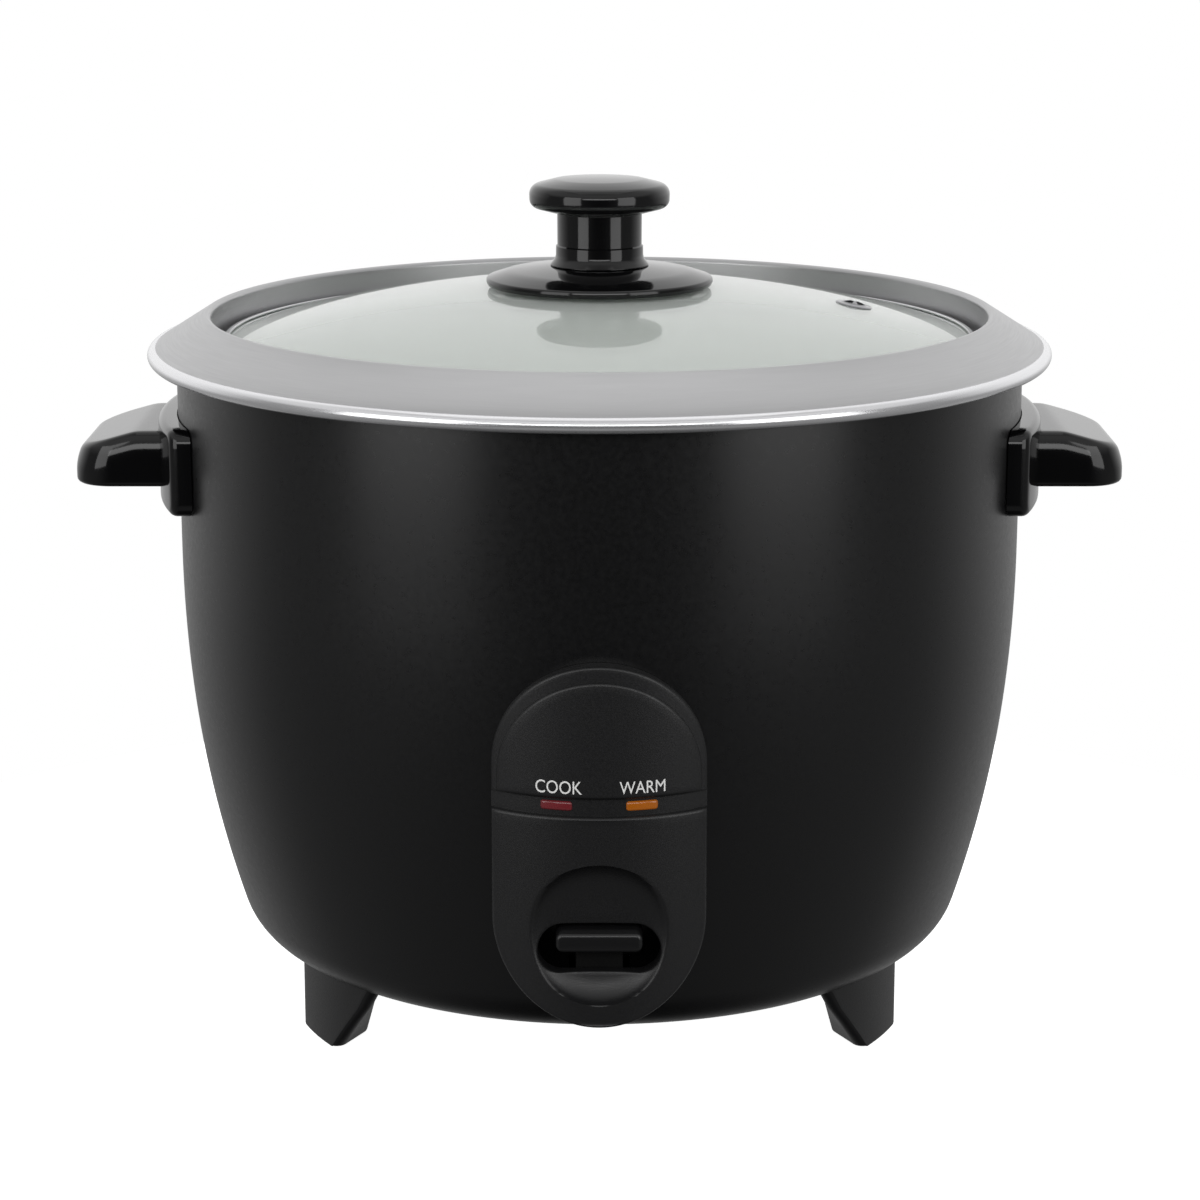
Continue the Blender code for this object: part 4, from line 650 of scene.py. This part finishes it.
def make_turned_root():
    """Plates, cup and magnets, each turned from its own section. The base plate has one pressed ring."""
    low, high = span("base_plate")
    z, top, r = low[2], high[2], high[0]
    press, inner, outer = 0.5, 30, 70
    corners = [(0, top - press, 0), (inner, top - press, 2), (inner + 3, top, 2), (outer, top, 2)]
    corners += [(outer + 3, top - press, 2), (r, top - press, 0.3), (r, z, 0.3), (outer + 4, z, 2)]
    corners += [(outer + 1, z + press, 2), (inner + 2, z + press, 2), (inner - 1, z, 2), (0, z, 0)]
    piece("base_plate", [turned(rounded(corners), 128)], ZINC)
    low, high = span("heating_plate")
    z, top, r = low[2], high[2], high[0]
    hole, slant = 17.6, 6
    corners = [(hole, top, 0.6), (r, top, 1.6), (r, z + slant, 2.0), (r - slant, z, 3.0), (hole, z, 0.6)]
    piece("heating_plate", [turned(rounded(corners, closed=True), 192, closed=True)], CASTING)
    low, high = span("limiter_cap")
    z, top, r = low[2], high[2], high[0]
    wall = 1
    corners = [(0, top, 0), (r, top, 1.5), (r, z, 0.3), (r - wall, z, 0.3), (r - wall, top - wall, 0.5)]
    corners += [(0, top - wall, 0)]
    piece("limiter_cap", [turned(rounded(corners), 96)], CASTING, "limiter_sensor")
    for name, body in (("limiter_ferrite", "limiter_sensor"), ("limiter_magnet", "limiter_lift")):
        low, high = span(name)
        line = rounded([(0, high[2], 0), (high[0], high[2], 0.4), (high[0], low[2], 0.4), (0, low[2], 0)])
        piece(name, [turned(line, 64)], FERRITE, body)


make_turned_root()


# ---------------------------------------------------------------- feet
def make_foot(name, degrees, shares):
    """Stacked loops that lean out: at height h the block runs from -L/2 - lean h share to L/2 + lean h
    share along the drum, between an inner straight line, shorter at a leaning end, and the outer circle.
    Its top follows the plate and then the drum's corner, a quarter circle."""
    outer, inner = 104.0, 87.0
    half, lean, edge, bend = 13.5, 24.0, 1.2, 3
    height, flat = 23.9, drum_profile()[-2][0]
    t = np.linspace(0, math.pi / 2, 5)
    rows = [(edge * (1 - math.sin(a)), edge * (1 - math.cos(a))) for a in t]
    rows += [(0, h) for h in (6, 12, 18, height)]

    def on_circle(r, y, radius):
        return (math.sqrt(r * r - y * y), y, radius)

    loops = []
    for inset, h in rows:
        start = -half - lean * h / height * shares[0] + inset
        stop = half + lean * h / height * shares[1] - inset
        r = outer - inset
        front = [on_circle(r, y, 0) for y in np.linspace(start, stop, 9)[1:-1]]
        cut = 11.0 + 12.0 * h / height
        corners = [on_circle(r, start, bend)] + front + [on_circle(r, stop, bend)]
        corners += [(inner, stop - cut * (shares[1] > 0), 4), (inner, start + cut * (shares[0] > 0), 4)]
        plan = rounded(corners, closed=True, steps=6)
        loops.append(np.column_stack((plan, np.full(len(plan), float(h)))))
    first, last = loops[0], loops[-1].copy()
    plate_edge, blend = 96.1, 0.4
    corner_z = DRUM_BOTTOM + DRUM_CORNER - GAP
    tops = []
    for part in np.linspace(1, 0, 14):
        ring = last.mean(0) + (last - last.mean(0)) * part
        r = np.hypot(ring[:, 0], ring[:, 1])
        curve = corner_z - np.sqrt(DRUM_CORNER**2 - np.clip(r - flat, 0, 19) ** 2)
        ring[:, 2] = height + (curve - height) * np.clip((r - plate_edge) / blend, 0, 1)
        tops.append(ring)
    points, cells = grid(np.stack([first.mean(0) + 0 * first] + loops[:-1] + tops))
    c, s = math.cos(math.radians(degrees)), math.sin(math.radians(degrees))
    piece(name, [moved((points, cells), [[c, -s, 0], [s, c, 0], [0, 0, 1]])], ABS)


make_foot("foot_front_left", 208, (0.0, 1.0))
make_foot("foot_front_right", 332, (1.0, 0.0))
make_foot("foot_rear", 90, (0.5, 0.5))


# ---------------------------------------------------------------- handles
def make_handle(side, sign):
    """A grip of stacked plan loops whose top bends down past the kink, with a hollow underneath, and a
    pad wrapped round the drum: x = sqrt(r^2 - y^2). The grip's top edge is two arcs that touch: a wide
    one, then a tight one."""
    low, high = span("right_handle")
    start, reach, half, corner = 139.0, high[0], 29.0, 12.0
    bottom, top, kink = 178.4, 196.0, 147.6
    drop = 5.8 / (reach - kink)
    middle = (start + reach) / 2

    def top_z(x):
        """Level, then a straight slope, with a soft bend between: the integral of a smooth step."""
        over = np.asarray(x) - kink
        return top - drop * (over + np.sqrt(over * over + 2.0)) / 2

    def loop(inset):
        """The grip's outline in plan, smaller by inset: square at the drum, round at its outer
        corners."""
        inner, outer, side = start + 0.2 * inset, reach - inset, half - inset
        bend = corner - 0.7 * inset
        across = [(inner, y, 0) for y in np.linspace(side, -side, 14)[1:-1]]
        end = [(outer, y, 0) for y in np.linspace(-side + bend, side - bend, 12)[1:-1]]
        front = [(x, -side, 0) for x in np.linspace(inner, outer - bend, 14)[:-1]]
        back = [(x, side, 0) for x in np.linspace(outer - bend, inner, 14)[1:]]
        corners = front + [(outer, -side, bend)] + end + [(outer, side, bend)] + back + across
        flat = rounded(corners, closed=True, steps=12)
        return flat[:, 0], flat[:, 1]

    loops = []
    hollow_middle, hollow_depth, hollow_half, hollow_roof, roof_bend = 157.2, 7.0, 25.5, 186.7, 1.5

    def hollow(inset, z):
        """The outline squeezed about the hollow's middle."""
        outer_x, outer_y = loop(0.0)
        x = hollow_middle + (outer_x - middle) * (hollow_depth - inset) / (reach - middle)
        loops.append(np.column_stack((x, outer_y * (hollow_half - inset) / half, np.full(len(x), z))))

    for a in np.linspace(0, math.pi / 2, 4):
        hollow(roof_bend * (1 - math.sin(a)) + 0.5, hollow_roof - roof_bend * (1 - math.cos(a)))
    hollow(0.3, bottom + 0.6)
    hollow(0.0, bottom)
    low_edge = 1.6
    for a in np.linspace(0, math.pi / 2, 5):
        x, y = loop(low_edge * (1 - math.sin(a)))
        loops.append(np.column_stack((x, y, np.full(len(x), bottom + low_edge * (1 - math.cos(a))))))
    tilt, wide, tight = math.radians(24), 16.0, 2.8
    low_arc = np.linspace(0, tilt, 7)
    high_arc = np.linspace(tilt, math.pi / 2, 9)[1:]
    turn_inset, turn_rise = wide * (1 - math.cos(tilt)), wide * math.sin(tilt)
    tight_inset = turn_inset + tight * (math.cos(tilt) - np.cos(high_arc))
    tight_rise = turn_rise + tight * (np.sin(high_arc) - math.sin(tilt))
    insets = np.concatenate((wide * (1 - np.cos(low_arc)), tight_inset))
    rises = np.concatenate((wide * np.sin(low_arc), tight_rise))
    for inset, rise in zip(insets, rises):
        x, y = loop(inset)
        loops.append(np.column_stack((x, y, top_z(x) - (rises[-1] - rise))))
    x, y = loop(insets[-1])
    for part in np.linspace(0.9, 0, 10):
        xs = x * part + middle * (1 - part)
        loops.append(np.column_stack((xs, y * part, top_z(xs))))
    roof = loops[0].mean(0) + 0 * loops[0]
    grip = grid(np.stack([roof] + loops))
    t = np.linspace(0, math.pi / 2, 6)
    rounding, back_r, front_r = 2.2, 136.25, 142.2
    rings = [(0.0, back_r)]
    rings += [(rounding * (1 - math.cos(a)), front_r - rounding * (1 - math.sin(a))) for a in t]
    pad = []
    middle_z = (low[2] + high[2]) / 2
    for inset, radius in rings:
        flat = plan_loop(high[1], (high[2] - low[2]) / 2, 4.5, inset, along=18, round_steps=6)
        y, z = flat[:, 0], flat[:, 1] + middle_z
        pad.append(np.column_stack((np.sqrt(radius**2 - y**2), y, z)))
    first, last = pad[0], pad[-1]

    def cap(ring, radius, part):
        """The ring drawn in towards its middle, kept on the circle of its radius."""
        y, z = ring[:, 1] * part, middle_z + (ring[:, 2] - middle_z) * part
        return np.column_stack((np.sqrt(radius**2 - y**2), y, z))

    back = [cap(first, back_r, part) for part in np.linspace(0, 0.95, 12)]
    front = [cap(last, front_r, part) for part in np.linspace(0.95, 0, 12)]
    wrapped = grid(np.stack(back + pad + front))
    matrix = [[sign, 0, 0], [0, sign, 0], [0, 0, 1]]
    piece(f"{side}_handle", [moved(grip, matrix), moved(wrapped, matrix)], PHENOLIC, sharp=38)


make_handle("left", -1)
make_handle("right", 1)


# ---------------------------------------------------------------- control panel
PANEL_WALL = 2.5


def face(x, radius=NOSE):
    """y of the panel's face, a circle about the upright line at y = NOSE_Y."""
    return NOSE_Y - np.sqrt(radius**2 - np.asarray(x) ** 2)


def drum_front(x, z, gap=GAP):
    """y of the drum's outside at (x, z), less a gap."""
    return -np.sqrt((drum_radius(z) + gap) ** 2 - np.asarray(x) ** 2)


def arch_angles(pole, radius, flat, over=150, back=60):
    """Directions from the pole on to an arch: evenly between its two bottom corners, over the top and
    back."""
    a = math.atan2(flat - pole, radius)
    b = math.pi - a
    top = np.linspace(a, b, over, endpoint=False)
    return np.concatenate((top, np.linspace(b, a + TAU, back, endpoint=False)))


def arch(theta, pole, radius, centre, flat):
    """How far it is from (0, pole) to the outline of an arch: a half circle about (0, centre), upright
    sides below it, and a straight bottom at height flat."""
    c, s = np.cos(theta), np.sin(theta)
    off = centre - pole
    to_circle = off * s + np.sqrt(radius**2 - off**2 + (off * s) ** 2)
    to_side = radius / np.maximum(np.abs(c), 1e-9)
    far = np.where(pole + to_circle * s >= centre, to_circle, to_side)
    return np.where(s < 0, np.minimum(far, (pole - flat) / np.maximum(-s, 1e-9)), far)


def arch_loop(pole, radius, centre, flat, inset=0.0, flip=1):
    """The outline of an arch made smaller by inset, as (x, z). flip = -1 turns it upside down."""
    theta = arch_angles(pole, radius - inset, flat + inset)
    t = arch(theta, pole, radius - inset, centre, flat + inset)
    return t * np.cos(theta), flip * (pole + t * np.sin(theta))


def sheet(x, y, z):
    """A row of points, where y may be one number for all."""
    return np.column_stack((x, y + 0 * x, z))


def make_lower_panel():
    """Rings from the lever's slot, through the dish, to the outline, round a filleted edge and back to
    the drum, then the same way back inside the wall. The dish is depth (1 - sqrt(1 - (r / R)^4)) above
    its floor."""
    slot_z = 62.75
    pole, flat, centre = -slot_z, -GROOVE, -(PANEL_LOW[2] + HALF_PANEL)
    dish, dish_z, depth, wall = 21.5, 68.5, 7.0, PANEL_WALL
    floor = PANEL_FRONT + depth
    theta = arch_angles(pole, HALF_PANEL, flat)
    c, s = np.cos(theta), -np.sin(theta)
    slot_r, slot_half = 7.25, 18.0
    reach = slot_half - slot_r
    flat_t = slot_r / np.maximum(np.abs(s), 1e-9)
    end_t = reach * np.abs(c) + np.sqrt(np.maximum(slot_r**2 - (reach * s) ** 2, 0))
    slot = np.where(flat_t * np.abs(c) <= reach, flat_t, end_t)
    off = dish_z + pole
    to_dish = off * s + np.sqrt(dish**2 - off**2 + (off * s) ** 2)

    def at(t):
        """x and z at the distance t from the pole."""
        return t * c, -pole + t * s

    def dish_y(x, z):
        """The further back of face and bowl, with a soft edge between them."""
        r = np.clip(np.hypot(x, z - dish_z) / dish, 0, 1)
        bowl = floor - depth * (1 - np.sqrt(1 - r**4))
        surface_y = face(x)
        gap = bowl - surface_y
        return surface_y + (gap + np.sqrt(gap**2 + 0.25)) / 2

    def loop(inset):
        """The panel's outline, smaller by inset."""
        return arch_loop(pole, HALF_PANEL, centre, flat, inset, flip=-1)

    slot_edge, fillet = 0.5, 1.0
    x, z = at(slot)
    rows = [sheet(x, floor + wall, z)]
    for a in np.linspace(0, math.pi / 2, 4):
        x, z = at(slot + slot_edge * (1 - math.cos(a)))
        rows.append(sheet(x, dish_y(x, z) + slot_edge * (1 - math.sin(a)), z))
    for part in 1 - (1 - np.linspace(0, 1, 18)[1:]) ** 1.8:
        x, z = at(slot + slot_edge + (to_dish * 1.04 - slot - slot_edge) * part)
        rows.append(sheet(x, dish_y(x, z), z))
    start_x, start_z = x, z
    edge_x, edge_z = loop(fillet)
    for part in np.linspace(0, 1, 9)[1:]:
        x, z = start_x + (edge_x - start_x) * part, start_z + (edge_z - start_z) * part
        rows.append(sheet(x, dish_y(x, z), z))
    for a in np.linspace(0, math.pi / 2, 6)[1:]:
        x, z = loop(fillet * (1 - math.sin(a)))
        rows.append(sheet(x, face(x) + fillet * (1 - math.cos(a)), z))
    rows.append(sheet(x, np.maximum(drum_front(x, z), face(x) + fillet + 0.01), z))
    x, z = loop(wall)
    rows.append(sheet(x, np.maximum(drum_front(x, z), face(x) + wall + 0.5), z))
    rows.append(sheet(x, face(x) + wall, z))
    inner_x, inner_z = at(to_dish + wall)
    rows.append(sheet(inner_x, face(inner_x) + wall, inner_z))
    x, z = at(to_dish * 0.9 + wall)
    rows.append(sheet(x, floor + wall, z))
    return grid(np.stack(rows), rows=True)


def make_upper_panel():
    """The seat behind the fascia: an arch whose face lies one plate's thickness back, closed to a point
    front and back."""
    centre = PANEL_HIGH[2] - HALF_PANEL
    flat = GROOVE + 0.02
    pole, wall = centre, PANEL_WALL
    rows = []
    x, z = arch_loop(pole, HALF_PANEL, centre, flat)
    for part in np.linspace(0, 1, 16):
        rows.append(sheet(x * part, face(x * part, SEAT), pole + (z - pole) * part))
    rows.append(sheet(x, np.maximum(drum_front(x, z), face(x, SEAT) + 0.01), z))
    x, z = arch_loop(pole, HALF_PANEL, centre, flat, wall)
    rows.append(sheet(x, np.maximum(drum_front(x, z), face(x, SEAT) + wall), z))
    for part in np.linspace(0.98, 0, 12):
        rows.append(sheet(x * part, face(x * part, SEAT) + wall, pole + (z - pole) * part))
    return grid(np.stack(rows))


piece("control_panel", [make_lower_panel(), make_upper_panel()], ABS, sharp=42)


def make_fascia():
    """The arched plate: a proud face inside a lower crescent that widens towards the top, with a round
    edge."""
    centre, flat = FASCIA_HIGH[2] - HALF_PANEL, FASCIA_LOW[2]
    pole = centre - 2
    step, inner_edge, fillet = 0.75, 0.8, 0.7
    side_band, top_band = 1.6, 4.6
    inner_r = HALF_PANEL - side_band
    inner_centre = FASCIA_HIGH[2] - top_band - inner_r
    rows = []

    def inner(inset):
        """The outline of the proud face, smaller by inset."""
        return arch_loop(pole, inner_r, inner_centre, flat + 0.5, inset)

    x, z = inner(inner_edge)
    for part in np.linspace(0, 1, 14):
        rows.append(sheet(x * part, face(x * part), pole + (z - pole) * part))
    for a in np.linspace(0, math.pi / 2, 5)[1:]:
        x, z = inner(inner_edge * (1 - math.sin(a)))
        rows.append(sheet(x, face(x) + step * (1 - math.cos(a)), z))
    start_x, start_z = x, z
    edge_x, edge_z = arch_loop(pole, HALF_PANEL, centre, flat, fillet)
    for part in np.linspace(0, 1, 5)[1:]:
        x, z = start_x + (edge_x - start_x) * part, start_z + (edge_z - start_z) * part
        rows.append(sheet(x, face(x) + step, z))
    for a in np.linspace(0, math.pi / 2, 5)[1:]:
        x, z = arch_loop(pole, HALF_PANEL, centre, flat, fillet * (1 - math.sin(a)))
        rows.append(sheet(x, face(x) + step + fillet * (1 - math.cos(a)), z))
    for part in np.linspace(1, 0, 16):
        rows.append(sheet(x * part, face(x * part, NOSE - FASCIA_THICKNESS), pole + (z - pole) * part))
    piece("panel_fascia", [grid(np.stack(rows))], ABS, sharp=42)


make_fascia()


def make_lens(name, finish):
    """A rounded bar whose front follows the panel's curve: y moves with the face across its width."""
    low, high = span(name)
    points, cells = block(low, high, 0.9, 0.9)
    middle = (low[0] + high[0]) / 2
    points = points.copy()
    points[:, 1] += face(points[:, 0], SEAT) - float(face(middle, SEAT))
    piece(name, [(points, cells)], finish)


make_lens("cook_lens", RED)
make_lens("warm_lens", AMBER)


def make_key():
    """The lever's key: a bar with round edges, and the leg that goes down behind the panel."""
    bar_bottom, leg_half, leg_thickness, leg_top = 63.0, 7.0, 4.0, 64.5
    back = KEY_HIGH[1]
    bar = block((KEY_LOW[0], KEY_LOW[1], bar_bottom), KEY_HIGH, 2.2, 1.3)
    leg = block((-leg_half, back - leg_thickness, KEY_LOW[2]), (leg_half, back, leg_top), 0.6, 0.3)
    # The leg takes the second finish, a darker black that is painted shade behind the panel
    piece("cook_lever_key", [bar, (*leg, 1)], [ABS_SMOOTH, SHADE_BLACK], "cook_lever")


make_key()


INK_DEPTH = 0.06


def make_word(word, centre, width, height, bottom):
    """A word as a thin raised mesh: its letters are drawn flat, then each point is laid on the panel's
    face."""
    name = "label_" + word.lower()
    curve = bpy.data.curves.new(name, "FONT")
    curve.body = word
    curve.align_x = "CENTER"
    curve.size = 1.0
    curve.extrude = 0.01
    curve.resolution_u = 4
    obj = bpy.data.objects.new("drawn", curve)
    bpy.context.scene.collection.objects.link(obj)
    bpy.context.view_layer.update()
    mesh = bpy.data.meshes.new_from_object(obj)
    bpy.data.objects.remove(obj)
    flat = np.empty(len(mesh.vertices) * 3)
    mesh.vertices.foreach_get("co", flat)
    flat = flat.reshape(-1, 3)
    low, high = flat.min(0), flat.max(0)
    part = (flat - low) / (high - low)
    x = centre + (part[:, 0] - 0.5) * width
    z = bottom + part[:, 1] * height
    y = face(x) + INK_DEPTH / 2 - part[:, 2] * INK_DEPTH
    mesh.vertices.foreach_set("co", (np.column_stack((x, y, z)) * MM).ravel())
    mesh.update()
    mesh.name = name
    made = bpy.data.objects.new(name, mesh)
    bpy.context.scene.collection.objects.link(made)
    mesh.materials.clear()
    mesh.materials.append(INK)
    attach(made, "root")


make_word("COOK", -11.7, 13.4, 3.9, 111.6)
make_word("WARM", 12.5, 13.2, 3.7, 111.7)


# ---------------------------------------------------------------- back and underside
def soften(name, width=0.4):
    """Rounds the sharp edges of a CAD node."""
    obj = frame["nodes"][name]
    bevel = obj.modifiers.new("edges", "BEVEL")
    bevel.width = width * MM
    bevel.segments = 2
    bevel.limit_method = "ANGLE"
    bevel.angle_limit = math.radians(50)


for name in ("power_inlet", "cook_switch", "link_bracket", "link_arm"):
    soften(name)


# ---------------------------------------------------------------- floor, light and camera
FLOOR_RADIUS = 0.34  # this section is in metres
FLOOR_DROP = 0.0003


def make_stage():
    """A pale round floor just under the feet that only the camera sees."""
    material = bpy.data.materials.new("pale_floor")
    material.use_nodes = True
    tree = material.node_tree
    shader = tree.nodes["Principled BSDF"]
    shader.inputs["Base Color"].default_value = srgb("F4F4F4")
    shader.inputs["Roughness"].default_value = 0.9
    shader.inputs["Emission Color"].default_value = (1, 1, 1, 1)
    shader.inputs["Emission Strength"].default_value = 0.92
    a = np.linspace(0, TAU, 96, endpoint=False)
    rim = np.column_stack((FLOOR_RADIUS * np.cos(a), FLOOR_RADIUS * np.sin(a), np.full(96, -FLOOR_DROP)))
    mesh = bpy.data.meshes.new("floor")
    mesh.from_pydata(rim.tolist(), [], [list(range(96))])
    mesh.materials.append(material)
    floor = bpy.data.objects.new("floor", mesh)
    bpy.context.scene.collection.objects.link(floor)
    floor.visible_glossy = False
    floor.visible_diffuse = False
    floor.visible_transmission = False


def softbox(name, place, target, size, radiance):
    """A white rectangular area light. Its power is radiance times pi times its area."""
    light = bpy.data.lights.new(name, "AREA")
    light.shape = "RECTANGLE"
    light.size, light.size_y = size
    light.energy = radiance * math.pi * size[0] * size[1]
    light.color = (1, 1, 1)
    obj = bpy.data.objects.new(name, light)
    bpy.context.scene.collection.objects.link(obj)
    obj.location = place
    way = Vector(target) - Vector(place)
    obj.rotation_euler = way.to_track_quat("-Z", "Y").to_euler()
    obj.visible_camera = False


def make_world():
    """White to the camera. To everything else it is bright behind, softer above, dim at the sides and on
    the floor, and dark in front, so that black surfaces have something to fade between."""
    world = bpy.data.worlds.new("studio")
    bpy.context.scene.world = world
    world.use_nodes = True
    tree = world.node_tree
    tree.nodes.clear()
    way = node(tree, "TexCoord").outputs["Generated"]
    axes = node(tree, "SeparateXYZ", {}, {0: way})

    def ramp(source, a, b, low, high):
        """From low at a to high at b, level outside, smooth at both ends."""
        settings = {"interpolation_type": "SMOOTHSTEP", "From Min": a, "From Max": b}
        settings.update({"To Min": low, "To Max": high})
        return node(tree, "MapRange", settings, {"Value": source}).outputs["Result"]

    def math_node(operation, a, b):
        """One sum of two numbers or sockets."""
        made = node(tree, "Math", {"operation": operation})
        for i, value in enumerate((a, b)):
            if isinstance(value, (int, float)):
                made.inputs[i].default_value = value
            else:
                tree.links.new(value, made.inputs[i])
        return made.outputs[0]

    across, depth, height = axes.outputs["X"], axes.outputs["Y"], axes.outputs["Z"]
    behind = ramp(depth, -0.35, 0.75, 0.0, 1.0)
    level = math_node("MULTIPLY", ramp(height, -0.35, 0.10, 0.36, 1.0), ramp(height, -0.95, -0.55, 0.1, 1.0))
    above = math_node("MULTIPLY", ramp(height, 0.08, 0.62, 0.0, 0.7), ramp(height, 0.80, 0.98, 1.0, 0.62))
    floor = math_node("MULTIPLY", ramp(height, -0.60, -0.28, 0.16, 0.0), ramp(height, -0.97, -0.80, 0.1, 1.0))
    side = math_node("ABSOLUTE", across, 0)
    side = ramp(side, 0.1, 0.9, 0.02, 0.20)
    strength = math_node("MAXIMUM", math_node("MULTIPLY", behind, level), above)
    strength = math_node("MAXIMUM", math_node("MAXIMUM", strength, side), floor)
    soft = node(tree, "Background", {}, {"Strength": strength})
    white = node(tree, "Background", {"Strength": 1.0, "Color": (1, 1, 1, 1)})
    soft.inputs["Color"].default_value = (1, 1, 1, 1)
    path = node(tree, "LightPath")
    links = {0: path.outputs["Is Camera Ray"], 1: soft.outputs[0], 2: white.outputs[0]}
    mix = node(tree, "MixShader", {}, links)
    node(tree, "OutputWorld", {}, {"Surface": mix.outputs[0]})


make_stage()
make_world()
for side in (-1, 1):
    softbox(f"front_box_{side}", (side * 0.56, -0.56, 0.35), (0, 0, 0.35), (0.42, 0.54), 2.0)
softbox("front_bar", (0, -1.25, 0.56), (0, 0, 0.2), (1.3, 0.26), 3.0)
softbox("overhead", (0, 0.1, 1.3), (0, 0, 0.2), (0.9, 0.9), 0.4)

camera = bpy.data.objects.new("camera", bpy.data.cameras.new("camera"))
bpy.context.scene.collection.objects.link(camera)
camera.data.lens = 93.54
camera.data.sensor_width = 36
camera.data.shift_x = -0.0022
camera.location = (0.001, -1.0, 0.379)
camera.rotation_euler = (math.radians(90 - 13.74), 0, 0)
bpy.context.scene.camera = camera
bpy.context.scene.view_settings.view_transform = "Standard"
